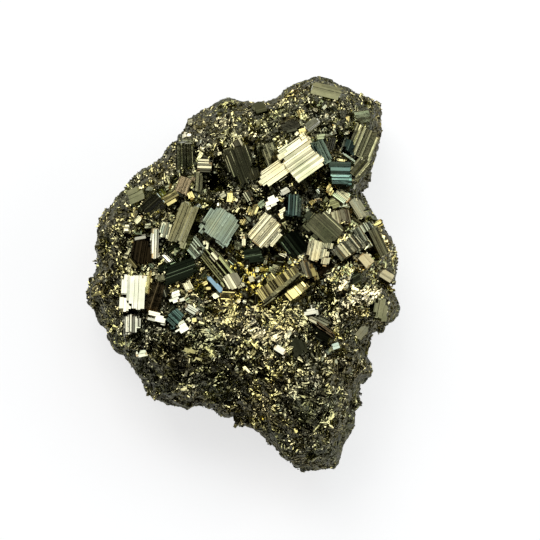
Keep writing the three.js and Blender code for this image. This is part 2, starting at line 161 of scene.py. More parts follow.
# The cubes that the solid has too.
LARGE_CUBES = (
    Cube((-11.1, 23.3), (4.9, 4.1, 6), 90, 24, 200, Tint.OLIVE, Stripe.BOLD, painted_shine=0.8),
    Cube((-7.2, 21.3), (2.9, 2.7, 4), -3, 17, 110, Tint.CREAM, Stripe.BANDED, painted_shine=0.8),
    Cube((0, 21.2), (7.4, 5.6, 8), -70, 12, 285, Tint.OLIVE, Stripe.FINE,
         cuts=((1.2, 1.2), (0, 0), (1.2, 3), (2.6, 3.4)), painted_shine=0.8),
    Cube((6, 23.5), (4.6, 3.3, 5), -70, 22, 20, Tint.OLIVE, Stripe.BROAD),
    Cube((3.8, 33), (2.4, 2.4, 4), 15, 30, 100, Tint.DARK, Stripe.PLAIN, painted_shine=0.6),
    Cube((12.05, 22.8), (7.2, 7.7, 8), 36, 16, 112, Tint.CREAM, Stripe.BROAD,
         cuts=((0, 0), (2.2, 2), (0.8, 0.8), (1.6, 1.6)), painted_shine=0.95),
    Cube((6.3, 19.6), (6.5, 3.4, 6), 36, 18, 105, Tint.CREAM, Stripe.BROAD,
         cuts=((0.8, 0.9), (1.2, 1.4), (0, 0), (0, 0)), painted_shine=0.75),
    Cube((16.4, 24), (4.9, 2.2, 6), -64, 24, 26, Tint.TEAL, Stripe.FINE, painted_shine=0.6),
    Cube((19.8, 19.8), (4.6, 4.6, 6), 0, 20, 60, Tint.TEAL, Stripe.BOLD,
         cuts=((3.5, 0.4), (0, 0), (3.5, 0.6), (0, 0)), painted_shine=0.9),
    Cube((24.4, 25.8), (6, 5.6, 8), 66, 26, -12, Tint.OLIVE, Stripe.BOLD),
    Cube((24, 21.2), (5, 3.2, 6), 50, 28, -40, Tint.OLIVE, Stripe.BOLD, painted_shine=0.6),
    Cube((17, 36.2), (6, 3, 6), -15, 34, 80, Tint.OLIVE, Stripe.BROAD, painted_shine=1.3),
    Cube((24.2, 31), (3.2, 2.4, 5), 10, 20, 30, Tint.OLIVE, Stripe.PLAIN, painted_shine=0.75),
    Cube((9.8, 29), (3.8, 2.2, 5), 15, 10, 260, Tint.CREAM, Stripe.PLAIN, painted_shine=1.8),
    Cube((20.2, 15.4), (3.2, 2.4, 5), -37, 18, 100, Tint.PINK, Stripe.FINE),
    Cube((-11.5, 9.6), (8.8, 3.7, 7), 68, 20, 165, Tint.OLIVE, Stripe.FINE,
         cuts=((3.2, 1.2), (0, 0), (0, 0), (3.2, 1)), painted_shine=1.4),
    Cube((-14, 14.8), (3.6, 2.4, 5), 30, 19, 118, Tint.GOLD, Stripe.BANDED, painted_shine=0.5),
    Cube((-11.4, 17.4), (3.5, 2.7, 5), 70, 15, 150, Tint.PINK, Stripe.FINE),
    Cube((-21, 15.5), (3.6, 3.2, 6), 20, 34, 140, Tint.OLIVE, Stripe.PLAIN, painted_shine=1.3),
    Cube((-17.6, 13.4), (4.6, 3.4, 6), 41, 22, 215, Tint.OLIVE, Stripe.FINE, painted_shine=1.8),
    Cube((-17.1, 5.8), (6.4, 1.5, 5), 90, 20, 120, Tint.WHITE, Stripe.SHARP, painted_shine=0.9),
    Cube((-14.8, 8.5), (3.4, 2.4, 5), 75, 16, 80, Tint.GREY, Stripe.BOLD, painted_shine=0.45),
    Cube((-19.8, 4), (5, 4, 6), 80, 12, 245, Tint.BROWN, Stripe.FINE, painted_shine=0.6),
    Cube((-4.15, 9.55), (6.3, 6.6, 8), 57, 15, 60, Tint.PALE_BLUE, Stripe.FINE,
         cuts=((0.6, 0.6), (1.4, 1.8), (1, 0.8), (1.3, 1.1)), painted_shine=0.6),
    Cube((5.15, 8), (6.3, 5.6, 7), 50, 17, 122, Tint.CREAM, Stripe.SHARP,
         cuts=((1.3, 1.6), (0.3, 0.3), (1.6, 1.6), (0.4, 0.4))),
    Cube((6.2, 14.2), (2.7, 2.1, 4), 25, 16, 105, Tint.WHITE, Stripe.PLAIN),
    Cube((8.5, 11.9), (2.2, 1.8, 4), 30, 20, 115, Tint.CREAM, Stripe.FINE),
    Cube((-12.2, 0.2), (7.2, 3.6, 7), 20, 14, 290, Tint.FOREST, Stripe.FINE,
         cuts=((0, 0), (2.6, 1.6), (1.2, 1.6), (0, 0)), painted_shine=0.75),
    Cube((-4.5, 1.5), (8, 3.5, 6), -51, 12, 45, Tint.GOLD, Stripe.BANDED),
    Cube((2.4, 3.4), (3.6, 2.8, 5), 10, 12, 265, Tint.FOREST, Stripe.FINE),
    Cube((8.2, 2.4), (6.6, 2.6, 5), -6, 16, 250, Tint.DARK, Stripe.FINE, painted_shine=0.25),
    Cube((10.7, 13.4), (4.4, 2.8, 6), 85, 22, 30, Tint.TEAL, Stripe.BOLD, painted_shine=0.2),
    Cube((16.8, 9), (7, 4.8, 7), -42, 18, 335, Tint.OLIVE, Stripe.FINE,
         cuts=((0, 0), (1.8, 1.3), (1.4, 1), (0.4, 0.4)), painted_shine=0.75),
    Cube((15.4, 4.3), (4.6, 4.4, 6), 78, 16, 95, Tint.STRAW, Stripe.FINE,
         cuts=((2, 1.4), (0.8, 0.8), (2, 2), (1.2, 2)), painted_shine=0.65),
    Cube((19.9, 11.2), (2.9, 3.6, 6), -80, 19, 58, Tint.PINK, Stripe.BANDED, painted_shine=1.4),
    Cube((23.5, 13), (4.4, 2.4, 5), -57, 30, 30, Tint.GREY, Stripe.PLAIN, painted_shine=0.75),
    Cube((25.1, 7.5), (5, 4, 6), -60, 18, 60, Tint.CREAM, Stripe.BANDED, painted_shine=1.4),
    Cube((27.5, 6.2), (6, 2.6, 6), -63, 38, 20, Tint.OLIVE, Stripe.FINE, painted_shine=0.35),
    Cube((21.6, 5.2), (3.2, 6.2, 6), -52, 18, 80, Tint.CREAM, Stripe.BANDED, painted_shine=0.65),
    Cube((10.6, 5.6), (5, 4.2, 6), -53, 14, 240, Tint.FOREST, Stripe.BOLD),
    Cube((13.1, 0.8), (4.5, 2, 5), -72, 20, 150, Tint.CREAM, Stripe.BANDED, painted_shine=2),
    Cube((7.6, -2.2), (3.4, 9.3, 6), -56, 20, 120, Tint.GOLD, Stripe.BOLD, painted_shine=0.35),
    Cube((-21.4, -3.9), (7.2, 4.7, 7), 88, 17, 105, Tint.WHITE, Stripe.PLAIN,
         cuts=((0, 0), (2.4, 3.2), (0.6, 0.6), (1.2, 1.2)), painted_shine=0.8),
    Cube((-17.2, -4.9), (6.6, 3, 6), 73, 22, 320, Tint.BROWN, Stripe.FINE, painted_shine=0.5),
    Cube((-21.6, -10.1), (3.8, 3.4, 5), 90, 17, 100, Tint.WHITE, Stripe.BANDED, painted_shine=0.9),
    Cube((-16.6, -8.8), (4, 1.8, 4), -15, 16, 110, Tint.WHITE, Stripe.PLAIN,
         cuts=((0.8, 1.6), (0, 0), (0, 0), (0.9, 1.4)), painted_shine=0.8),
    Cube((-13, -8.9), (2.6, 3.2, 5), -45, 14, 60, Tint.TEAL, Stripe.BANDED, painted_shine=0.65),
    Cube((-11.9, -10.9), (2.8, 2.2, 4), 30, 17, 110, Tint.WHITE, Stripe.PLAIN,
         cuts=((0.6, 0.8), (1, 1.2), (0, 0), (0, 0))),
    Cube((-13.2, -4.9), (2.8, 2.2, 4), 20, 16, 100, Tint.WHITE, Stripe.PLAIN,
         cuts=((0.5, 0.6), (1.2, 1.2), (1, 0.8), (0, 0))),
    Cube((11.3, -14.6), (3.6, 2.4, 5), -70, 10, 270, Tint.DARK, Stripe.PLAIN),
    Cube((15.4, -9.3), (4.4, 2, 5), -27, 16, 90, Tint.CREAM, Stripe.BANDED, painted_shine=0.8),
    Cube((16.1, -12.2), (3.6, 3, 4), -29, 12, 270, Tint.DARK, Stripe.FINE, painted_shine=0.25),
    Cube((24.2, -11.8), (3.6, 2, 5), 50, 34, 320, Tint.GREY, Stripe.PLAIN),
    Cube((27.9, -7.2), (4, 3.2, 5), 80, 34, 345, Tint.OLIVE, Stripe.PLAIN),
)
# The cubes that are too small for the solid, and slivers that lie on large ones.
SMALL_CUBES = (
    Cube((20.2, 15.4), (3.3, 2.5, 5), -37, 17, 58, Tint.PINK, Stripe.FINE, 2.4, painted_shine=2.4),
    Cube((-0.7, 25.5), (2.2, 1.9, 3), -60, 22, 130, Tint.CREAM, Stripe.BANDED, 1.6, painted_shine=0.7),
    Cube((-11.3, 27.2), (2.0, 0.9, 3), 90, 18, 120, Tint.WHITE, Stripe.PLAIN, 0.8, painted_shine=0.6),
    Cube((-10.4, 27.2), (1.8, 0.7, 3), 80, 18, 110, Tint.WHITE, Stripe.PLAIN, 0.7),
    Cube((-10, 30.2), (1.6, 1.0, 3), 20, 22, 110, Tint.CREAM, Stripe.PLAIN, 0.6, painted_shine=0.35),
    Cube((8.8, 16.2), (1.8, 1.2, 3), 30, 17, 110, Tint.WHITE, Stripe.PLAIN, 1.4, painted_shine=0.5),
    Cube((21.6, 25.2), (2.4, 2.0, 3), 70, 12, 30, Tint.TEAL, Stripe.FINE, 1.2, painted_shine=0.12),
    Cube((20.3, 25.4), (3.0, 0.35, 3), 72, 18, 90, Tint.PALE_BLUE, Stripe.PLAIN, 1.6, painted_shine=0.2),
    Cube((21.5, 22.9), (3.0, 0.4, 3), -36, 18, 80, Tint.PALE_BLUE, Stripe.PLAIN, 1.6, painted_shine=1.2),
    Cube((18.8, 14), (2.4, 2.2, 4), 20, 16, 60, Tint.GOLD, Stripe.FINE, 1.4, painted_shine=0.65),
    Cube((20.3, 13.4), (2.6, 0.6, 3), 8, 17, 58, Tint.CREAM, Stripe.PLAIN, 2.8, painted_shine=1.3),
    Cube((26.8, 9.8), (2.6, 1.0, 3), 30, 17, 100, Tint.GOLD, Stripe.PLAIN, 1.0),
    Cube((29.1, 6.8), (2.0, 0.7, 3), -62, 17, 58, Tint.PINK, Stripe.PLAIN, 1.6, painted_shine=0.22),
    Cube((24.9, 2.6), (2.8, 2.2, 4), -50, 17, 58, Tint.PINK, Stripe.PLAIN, 1.6, painted_shine=1.1),
    Cube((28.9, -0.5), (3.2, 1.8, 4), -32, 17, 58, Tint.PINK, Stripe.PLAIN, 2.2),
    Cube((22.8, -1.3), (2.6, 1.9, 3), 30, 12, 260, Tint.DARK, Stripe.FINE, 1.0),
    Cube((16.1, 0.2), (5.4, 0.8, 4), 38, 18, 300, Tint.BROWN, Stripe.PLAIN, 1.6),
    Cube((14.4, 0.2), (3.6, 0.8, 4), -72, 18, 120, Tint.GOLD, Stripe.PLAIN, 1.6, painted_shine=0.2),
    Cube((8.0, -3.0), (9.2, 0.8, 4), 38, 14, 160, Tint.OLIVE, Stripe.PLAIN, 2.2),
    Cube((5.9, -1.2), (2.0, 1.8, 3), -53, 17, 110, Tint.GOLD, Stripe.BOLD, 1.0, painted_shine=0.9),
    Cube((10.9, -3.5), (2.6, 4.4, 4), -50, 18, 112, Tint.GOLD, Stripe.BANDED, 2.2, painted_shine=1.2),
    Cube((-9.3, 5.2), (4.2, 3.2, 4), -50, 14, 70, Tint.GREY, Stripe.BOLD, 1.0, painted_shine=0.7),
    Cube((-5.2, -2.3), (4.4, 0.8, 4), -49, 17, 58, Tint.SKY, Stripe.PLAIN, 2.0, painted_shine=0.45),
    Cube((-1.6, -1.6), (3.4, 3.0, 4), -60, 17, 108, Tint.CREAM, Stripe.BANDED, 1.2, painted_shine=0.75),
    Cube((-5.2, 3.3), (1.9, 1.6, 3), -50, 17, 110, Tint.CREAM, Stripe.BANDED, 0.8, painted_shine=0.8),
    Cube((0.6, 6.2), (2.2, 0.7, 3), 90, 17, 110, Tint.CREAM, Stripe.PLAIN, 1.4),
    Cube((2.2, -1.2), (1.3, 1.2, 3), 20, 17, 110, Tint.CREAM, Stripe.PLAIN, 1.0, painted_shine=0.5),
    Cube((4.9, 2.2), (1.4, 0.6, 3), 75, 17, 110, Tint.CREAM, Stripe.PLAIN, 1.2, painted_shine=0.3),
    Cube((-14.6, 2.6), (3.0, 1.2, 3), -45, 17, 110, Tint.WHITE, Stripe.BOLD, 1.0, painted_shine=1.3),
    Cube((-20, 6.9), (2.6, 0.6, 3), 10, 17, 110, Tint.WHITE, Stripe.PLAIN, 1.7, painted_shine=0.4),
    Cube((-21.5, 2.0), (2.8, 0.9, 3), -50, 17, 150, Tint.GOLD, Stripe.BOLD, 0.8, painted_shine=0.2),
    Cube((-18.3, -2.3), (4.0, 1.2, 4), 84, 20, 90, Tint.GOLD, Stripe.BOLD, 0.8, painted_shine=1.6),
    Cube((-9.9, -7.2), (3.4, 1.4, 3), -32, 17, 110, Tint.WHITE, Stripe.BANDED, 1.2, painted_shine=0.7),
    Cube((-19.8, -16.1), (2.2, 1.3, 5), 10, 18, 110, Tint.WHITE, Stripe.PLAIN, 3.2),
    Cube((-4.7, -4.4), (2.0, 1.1, 6), 30, 17, 110, Tint.GREY, Stripe.PLAIN, 4.6),
    Cube((7.7, -15.2), (2.7, 1.2, 3), -33, 17, 110, Tint.WHITE, Stripe.PLAIN, 1.0, painted_shine=0.85),
    Cube((13.7, -7.4), (2.8, 1.9, 4), 10, 17, 108, Tint.WHITE, Stripe.PLAIN, 2.0,
         cuts=((0, 0), (1.2, 1.6), (0, 0), (1.2, 0.8)), painted_shine=0.55),
    Cube((16.7, -10.9), (4.4, 0.4, 3), -37, 19, 110, Tint.PINK, Stripe.PLAIN, 1.5, painted_shine=0.15),
    Cube((18.8, -14.6), (1.8, 1.2, 4), 20, 17, 58, Tint.WHITE, Stripe.PLAIN, 2.6, painted_shine=1.4),
    Cube((17.6, -15.5), (1.6, 1.4, 3), 50, 20, 60, Tint.GREY, Stripe.PLAIN, 0.8, painted_shine=0.4),
    Cube((13.4, 11.0), (2.2, 1.6, 3), 40, 18, 60, Tint.OLIVE, Stripe.FINE, 1.0, painted_shine=0.1),
    Cube((17.6, 16.8), (2.6, 1.2, 3), 60, 17, 108, Tint.GOLD, Stripe.BOLD, 1.0),
    Cube((1.6, 15.4), (2.6, 1.8, 3), -60, 18, 100, Tint.CREAM, Stripe.BANDED, 1.0, painted_shine=0.45),
    Cube((2.4, 12.6), (2.6, 1.9, 3), 68, 16, 100, Tint.GOLD, Stripe.BOLD, 1.0),
    Cube((-8.4, 18.3), (4.4, 1.6, 4), 88, 18, 150, Tint.OLIVE, Stripe.BOLD, 1.0, painted_shine=0.3),
    Cube((-3.6, 15.4), (1.2, 0.9, 3), 30, 17, 110, Tint.CREAM, Stripe.PLAIN, 1.0, painted_shine=0.4),
)
# The blocks that mark the dark gaps between the cubes: inside them the crust is thinner and its grains are
# painted dark, as painted shade.
HOLLOWS = (
    Cube((-5.2, 17.7), (4, 4.4, 7), 85, 6, 200),
    Cube((20.2, 25.8), (2.4, 3.2, 5.5), 60, 8, 90),
    Cube((13.4, 16), (3.4, 2.4, 5), 10, 5, 120),
    Cube((-4.3, -4.9), (3, 1.8, 4.5), -10, 10, 160),
    Cube((1.8, -6), (3.4, 1.9, 4.5), -20, 8, 30),
)


def polar_vector(azimuth: float, polar: float) -> Vector:
    """A unit vector leaning from straight up.

    Args:
        azimuth: The way that it leans, in degrees anticlockwise from +X.
        polar: How far it leans from +Z, in degrees.

    Returns:
        The unit vector.
    """
    a = math.radians(azimuth)
    p = math.radians(polar)
    return Vector((math.cos(a) * math.sin(p), math.sin(a) * math.sin(p), math.cos(p)))


def add_object(name: str, data: bpy.types.ID) -> bpy.types.Object:
    """Puts an object into the scene.

    Args:
        name: Its name.
        data: Its mesh, light or camera.

    Returns:
        The object.
    """
    made = bpy.data.objects.new(name, data)
    bpy.context.scene.collection.objects.link(made)
    return made


def to_plain_mesh(source: bpy.types.Object, name: str) -> bpy.types.Mesh:
    """The mesh of an object with its modifiers applied. The object itself is removed.

    Args:
        source: The object.
        name: The new mesh's name.

    Returns:
        The mesh.
    """
    depsgraph = bpy.context.evaluated_depsgraph_get()
    mesh = bpy.data.meshes.new_from_object(source.evaluated_get(depsgraph))
    mesh.name = name
    source.modifiers.clear()
    bpy.data.objects.remove(source)
    return mesh


def read_vectors(items: bpy.types.bpy_prop_collection, name: str) -> np.ndarray:
    """A vector property of many items as an array of three columns.

    Args:
        items: Such as a mesh's vertices.
        name: The property.

    Returns:
        The array.
    """
    values = np.empty(len(items) * 3, np.float32)
    items.foreach_get(name, values)
    return values.reshape(-1, 3).astype(float)


def write_places(mesh: bpy.types.Mesh, places: np.ndarray) -> None:
    """Moves a mesh's vertices, none of them below the floor.

    Args:
        mesh: The mesh.
        places: The new places, one a row.
    """
    places[:, 2] = np.maximum(places[:, 2], 0)
    mesh.vertices.foreach_set("co", places.astype(np.float32).ravel())
    mesh.update()


SCATTER_STEPS = (12.9898, 78.233, 37.719)
SCATTER_SIZE = 43758.5453
CELL_STRIDES = np.array((157, 1009, 9973))


def scatter3(seeds: np.ndarray, salt: int) -> np.ndarray:
    """Fixed values from 0 to 1, three for each whole-number seed.

    Args:
        seeds: One whole number for each row.
        salt: Makes one set of values differ from another.

    Returns:
        An array of three columns.
    """
    seed_step, salt_step, column_step = SCATTER_STEPS
    angles = [seeds * seed_step + salt * salt_step + column * column_step for column in range(3)]
    values = np.sin(np.stack(angles, axis=1)) * SCATTER_SIZE
    return values - np.floor(values)


def nearest_cell(places: np.ndarray, cell: float) -> tuple[np.ndarray, np.ndarray]:
    """The nearest of a jittered lattice's centres for each place.

    Args:
        places: Points, one a row.
        cell: The lattice's spacing.

    Returns:
        The nearest centres, and a whole number that stands for each of them.
    """
    base = np.floor(places / cell)
    best = np.full(len(places), np.inf)
    centres = np.zeros_like(places)
    seeds = np.zeros(len(places))
    for shift in np.ndindex(3, 3, 3):
        corner = base + np.array(shift) - 1
        number = corner @ CELL_STRIDES
        centre = (corner + scatter3(number, 1)) * cell
        distance = np.sum((places - centre) ** 2, axis=1)
        closer = distance < best
        best[closer] = distance[closer]
        centres[closer] = centre[closer]
        seeds[closer] = number[closer]
    return centres, seeds


@dataclass
class MeshPile:
    """Vertices, faces and face tints gathered into one mesh."""

    points: list[Vector] = field(default_factory=list)
    faces: list[tuple[int, ...]] = field(default_factory=list)
    shades: list[Triple] = field(default_factory=list)

    def add(
        self, points: Iterable[Vector], faces: Iterable[Sequence[int]], shades: Iterable[Triple]
    ) -> None:
        """Adds a closed shape.

        Args:
            points: Its corners, in metres.
            faces: Its faces, by the numbers of its own corners.
            shades: One tint for each face.
        """
        start = len(self.points)
        self.points.extend(points)
        self.faces.extend(tuple(start + i for i in face) for face in faces)
        self.shades.extend(shades)

    def build(self, name: str, material: bpy.types.Material) -> bpy.types.Object:
        """Makes the mesh object.

        Args:
            name: The piece's name.
            material: Its material.

        Returns:
            The object, in the scene.
        """
        mesh = bpy.data.meshes.new(name)
        mesh.from_pydata(self.points, [], self.faces)
        mesh.materials.append(material)
        attribute = mesh.color_attributes.new(TINT, "FLOAT_COLOR", "CORNER")
        values = np.ones((len(mesh.loops), 4), np.float32)
        corners = [len(face) for face in self.faces]
        values[:, :3] = np.repeat(np.array(self.shades, np.float32), corners, axis=0)
        attribute.data.foreach_set("color", values.ravel())
        mesh.update()
        return add_object(name, mesh)


class Solid:
    """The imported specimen, which every grown piece stands on."""

    merge_distance: float = 1e-6
    above: float = 1.0

    def __init__(self, node: bpy.types.Object) -> None:
        """Takes the specimen's node and makes a search tree of a merged copy.

        Args:
            node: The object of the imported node.
        """
        shape = bmesh.new()
        shape.from_mesh(node.data)
        bmesh.ops.remove_doubles(shape, verts=shape.verts, dist=self.merge_distance)
        self.mesh = bpy.data.meshes.new("merged_solid")
        shape.to_mesh(self.mesh)
        self.tree = BVHTree.FromBMesh(shape)
        shape.free()

    def top_at(self, x: float, y: float) -> Vector:
        """The highest point over a plan place.

        Args:
            x: Plan place in mm from the middle of the crystal hollow.
            y: The same, towards the tall lobe.

        Returns:
            The point, in metres in the frame.
        """
        start = Vector(((x + PLAN_SHIFT.x) * MM, (y + PLAN_SHIFT.y) * MM, self.above))
        hit = self.tree.ray_cast(start, Vector((0, 0, -1)))[0]
        return hit if hit is not None else Vector((start.x, start.y, 0))

    def placing(self, cube: Cube) -> Matrix:
        """Where a cube stands.

        Args:
            cube: The cube.

        Returns:
            From mm in the cube's own axes, with the middle of its upper face at the origin, to metres.
        """
        face = self.top_at(*cube.at) + Vector((0, 0, cube.rise * MM))
        tilt = Quaternion(polar_vector(cube.toward + 90, 90), math.radians(cube.lean))
        turn = tilt @ Quaternion((0, 0, 1), math.radians(cube.bearing))
        return Matrix.Translation(face) @ turn.to_matrix().to_4x4() @ Matrix.Scale(MM, 4)

    def depth_in_cubes(self, places: np.ndarray, cubes: Iterable[Cube]) -> np.ndarray:
        """How deep each place lies inside the nearest cube.

        Args:
            places: Points in metres, one a row.
            cubes: The cubes to look at.

        Returns:
            The depth under the nearest side in mm, below 0 outside every cube.
        """
        deepest = np.full(len(places), -np.inf)
        for cube in cubes:
            back = np.array(self.placing(cube).inverted())
            local = places @ back[:3, :3].T + back[:3, 3]
            half = np.array(cube.size) / 2
            local[:, 2] += half[2]
            deepest = np.maximum(deepest, np.min(half - np.abs(local), axis=1))
        return deepest


@dataclass
class StriatedBlock:
    """A block with terraces on every side, each set running across the next as they do on pyrite.

    brightness is painted light: it scales its tint for how much light the block's faces should seem to
    catch, and cuts are the corners that its upper side lacks. Its upper side lies in bands along the
    stripes, with a step and a ragged end each. The other sides stand back by an inset. The strip colours
    are painted reflection and shade: strip_fall is how fast the strips of a bright block darken.
    bright_groove and dark_grooves are how light the grooves of bright blocks and of dark ones may be:
    painted brown shade in the grooves of bright blocks, painted highlights in those of dark ones.
    """

    size: Triple
    stripe: Stripe
    tint: Tint
    rng: random.Random
    brightness: float = 1.0
    cuts: tuple[Pair, ...] = ()
    inset: float = 0.32
    inset_share: float = 0.2
    band_width: Pair = (0.35, 1.0)
    narrowest_band: float = 0.3
    rounding: float = 1e-6
    band_step: float = 0.1
    ragged_end: float = 0.28
    ragged_share: float = 0.08
    corner_cut: float = 0.3
    narrow_bias: float = 2.2
    groove_share: Pair = (0.35, 1)
    step_share: Pair = (0.4, 1)
    deepest_steps: float = 2
    lightest_strip: float = 1.06
    strip_fall: float = 2.4
    bright_groove: Pair = (0.12, 0.7)
    groove_warmth: Triple = (1.0, 0.8, 0.6)
    dark_grooves: tuple[float, ...] = (0.3, 0.5, 1.6, 2.4)

    def shade(self, groove: bool) -> Triple:
        """The colour of one strip, with painted reflection and shade: painted brown shade in the grooves of
        a bright cube, painted pale highlights in those of a dark one.

        Args:
            groove: Whether the strip is a groove's wall.

        Returns:
            The colour.
        """
        contrast = self.stripe.value.contrast
        warmth: Triple = (1.0, 1.0, 1.0)
        if self.tint in BRIGHT_TINTS:
            mostly_light = 3 - 1.2 * contrast
            fall = self.strip_fall * contrast * self.rng.random() ** mostly_light
            level = self.lightest_strip * math.exp(-fall)
            # A groove of a bright cube: painted brown shade.
            if groove:
                dimmed = 1.2 - 0.6 * contrast
                level = self.rng.uniform(*self.bright_groove) * dimmed
                warmth = self.groove_warmth
        else:
            level = math.exp(self.rng.uniform(-1, 1) * contrast)
            # A groove of a dark cube: a painted pale highlight, up to 2.4 times lighter.
            if groove:
                level = self.rng.choice(self.dark_grooves)
        return tuple(self.brightness * level * w * c for w, c in zip(warmth, self.tint.value))

    def terraces(self, span: float) -> list[tuple[float, float, Triple]]:
        """The profile across one striated side.

        Args:
            span: The side's width in mm.

        Returns:
            Corners as (place, level, colour of the strip that starts there), from one edge to the other.
        """
        kind = self.stripe.value
        lowest = -self.deepest_steps * kind.step
        corners: list[tuple[float, float, Triple]] = []
        place = -span / 2
        level = -self.rng.uniform(0, kind.step)
        while place < span / 2:
            width = kind.narrowest + (kind.widest - kind.narrowest) * self.rng.random() ** self.narrow_bias
            end = min(place + width, span / 2)
            slope = math.tan(math.radians(self.rng.uniform(-kind.tilt, kind.tilt)))
            corners.append((place, level, self.shade(groove=False)))
            far_level = min(max(level + slope * (end - place), lowest), 0)
            corners.append((end, far_level, self.shade(groove=True)))
            riser = kind.groove * self.rng.uniform(*self.groove_share)
            step = self.rng.choice((-1, 1)) * self.rng.uniform(*self.step_share) * kind.step
            level = min(max(far_level + step, lowest), 0)
            place = end + riser
        return corners

    def prism(self, pile: MeshPile, placing: Matrix, sides: Triple, order: str, both: bool = True) -> None:
        """Adds a prism with terraces on one side or on two opposite sides.

        Args:
            pile: Where it goes.
            placing: From the prism's own mm to the frame's metres, with its middle at the origin.
            sides: Its length along the stripes, its width across them and its height.
            order: The block's axes that these lie on, such as "xyz".
            both: Whether the lower side is striated too.
        """
        run, span, height = sides
        upper = self.terraces(span)
        plain = self.shade(groove=False)
        lower = self.terraces(span) if both else [(-span / 2, 0, plain), (span / 2, 0, plain)]
        outline = [(u, height / 2 + v, s) for u, v, s in upper]
        outline += [(u, -height / 2 - v, s) for u, v, s in reversed(lower)]
        count = len(outline)
        axes = ["xyz".index(letter) for letter in order]
        points: list[Vector] = []
        for end in (-run / 2, run / 2):
            for u, v, _ in outline:
                local = [0.0, 0.0, 0.0]
                local[axes[0]], local[axes[1]], local[axes[2]] = end, u, v
                points.append(placing @ Vector(local))
        faces: list[tuple[int, ...]] = [tuple(range(count)), tuple(reversed(range(count, 2 * count)))]
        shades = [plain, plain]
        for i in range(count):
            j = (i + 1) % count
            faces.append((i, count + i, count + j, j))
            shades.append(outline[i][2] if i < len(upper) else outline[j][2])
        pile.add(points, faces, shades)

    def cut_at(self, inward: float, cut: Pair) -> float:
        """How much a missing corner shortens a band.

        Args:
            inward: The band's distance from the edge.
            cut: How far the missing corner reaches along the edge's two directions.

        Returns:
            The length that is missing.
        """
        across, along = cut
        return along * max(1 - inward / across, 0) if across > 0 else 0.0

    def end_gap(self) -> float:
        """How far short of the block's end a band stops."""
        return min(self.ragged_end, self.ragged_share * self.size[0]) * self.rng.random()

    def draw_cuts(self) -> tuple[Pair, ...]:
        """The missing corners of a block that has none given."""
        across, along = self.corner_cut * self.size[1], self.corner_cut * self.size[0]
        return tuple((across * self.rng.random(), along * self.rng.random() ** 2) for _ in range(4))

    def grow_top(self, pile: MeshPile, placing: Matrix) -> None:
        """Adds the upper side in bands along the stripes, each with its own level and its own ends.

        Args:
            pile: Where it goes.
            placing: From the block's own mm to the frame's metres.
        """
        length, width, depth = self.size
        start_right, start_left, end_right, end_left = self.cuts
        edge = width / 2
        place = -edge
        while place < edge - self.rounding:
            band = self.rng.uniform(*self.band_width)
            if edge - place - band < self.narrowest_band:
                band = edge - place
            near, far = place + edge, edge - place - band
            start = max(self.cut_at(near, start_right), self.cut_at(far, start_left)) + self.end_gap()
            stop = max(self.cut_at(near, end_right), self.cut_at(far, end_left)) + self.end_gap()
            drop = self.rng.uniform(0, self.band_step)
            middle = Vector(((start - stop) / 2, place + band / 2, -drop / 2))
            sides = (length - start - stop, band, depth - drop)
            self.prism(pile, placing @ Matrix.Translation(middle), sides, "xyz", both=False)
            place += band

    def grow(self, pile: MeshPile, placing: Matrix) -> None:
        """Adds the block: banded upper side, and crossing prisms for its other striated sides.

        Args:
            pile: Where it goes.
            placing: From the block's own mm to the frame's metres, with its middle at the origin.
        """
        length, width, depth = self.size
        inner = min(self.inset, self.inset_share * min(self.size))
        self.cuts = self.cuts or self.draw_cuts()
        whole_width = width - 2 * max(across for across, _ in self.cuts)
        whole_length = length - 2 * max(along for _, along in self.cuts)
        self.grow_top(pile, placing)
        lowered = placing @ Matrix.Translation((0, 0, -inner / 2))
        if whole_length > inner:
            self.prism(pile, lowered, (depth - inner, whole_length, width), "zxy")
        if whole_width > inner:
            self.prism(pile, lowered, (whole_width, depth - inner, length), "yzx")


@dataclass
class StriatedCubes:
    """The cubes with striated faces that fill the hollow and stand out of the granular mass."""

    solid: Solid
    material: bpy.types.Material
    seed: int = 11
    steps_on_large: int = 3
    steps_on_small: int = 1
    large_side: float = 3.3
    step_side: Pair = (0.25, 0.6)
    step_depth: float = 0.7
    step_down: Pair = (0.15, 1.1)
    step_out: Pair = (-0.1, 0.5)
    # step_painted_shine scales the painted light of the smaller blocks beside a cube.
    step_painted_shine: Pair = (0.85, 1.05)

    def grow_cube(self, pile: MeshPile, cube: Cube, rng: random.Random) -> None:
        """Adds one cube with the smaller blocks that grew parallel to it.

        Args:
            pile: Where it goes.
            cube: The cube.
            rng: The source of its scatter.
        """
        placing = self.solid.placing(cube)
        length, width, depth = cube.size
        block = StriatedBlock(cube.size, cube.stripe, cube.tint, rng, cube.painted_shine, cube.cuts)
        block.grow(pile, placing @ Matrix.Translation((0, 0, -depth / 2)))
        steps = self.steps_on_large if max(length, width) > self.large_side else self.steps_on_small
        for _ in range(steps):
            part = (
                length * rng.uniform(*self.step_side), width * rng.uniform(*self.step_side),
                depth * self.step_depth,
            )
            side = rng.choice((-1, 1)), rng.choice((-1, 1))
            shift = Vector((
                side[0] * ((length - part[0]) / 2 + rng.uniform(*self.step_out)),
                side[1] * ((width - part[1]) / 2 + rng.uniform(*self.step_out)),
                -part[2] / 2 - rng.uniform(*self.step_down),
            ))
            painted_shine = cube.painted_shine * rng.uniform(*self.step_painted_shine)
            block = StriatedBlock(part, cube.stripe, cube.tint, rng, painted_shine)
            block.grow(pile, placing @ Matrix.Translation(shift))

    def build(self) -> bpy.types.Object:
        """Makes the joined piece.

        Returns:
            The piece.
        """
        pile = MeshPile()
        for number, cube in enumerate((*LARGE_CUBES, *SMALL_CUBES)):
            self.grow_cube(pile, cube, random.Random(self.seed + number))
        return pile.build("striated_cubes", self.material)


@dataclass(frozen=True)
class InfillKind:
    """One kind of small cube: the ranges of its lean and of the way that it leans, and its tints."""

    lean: Pair
    toward: Pair
    tints: tuple[Tint, ...]


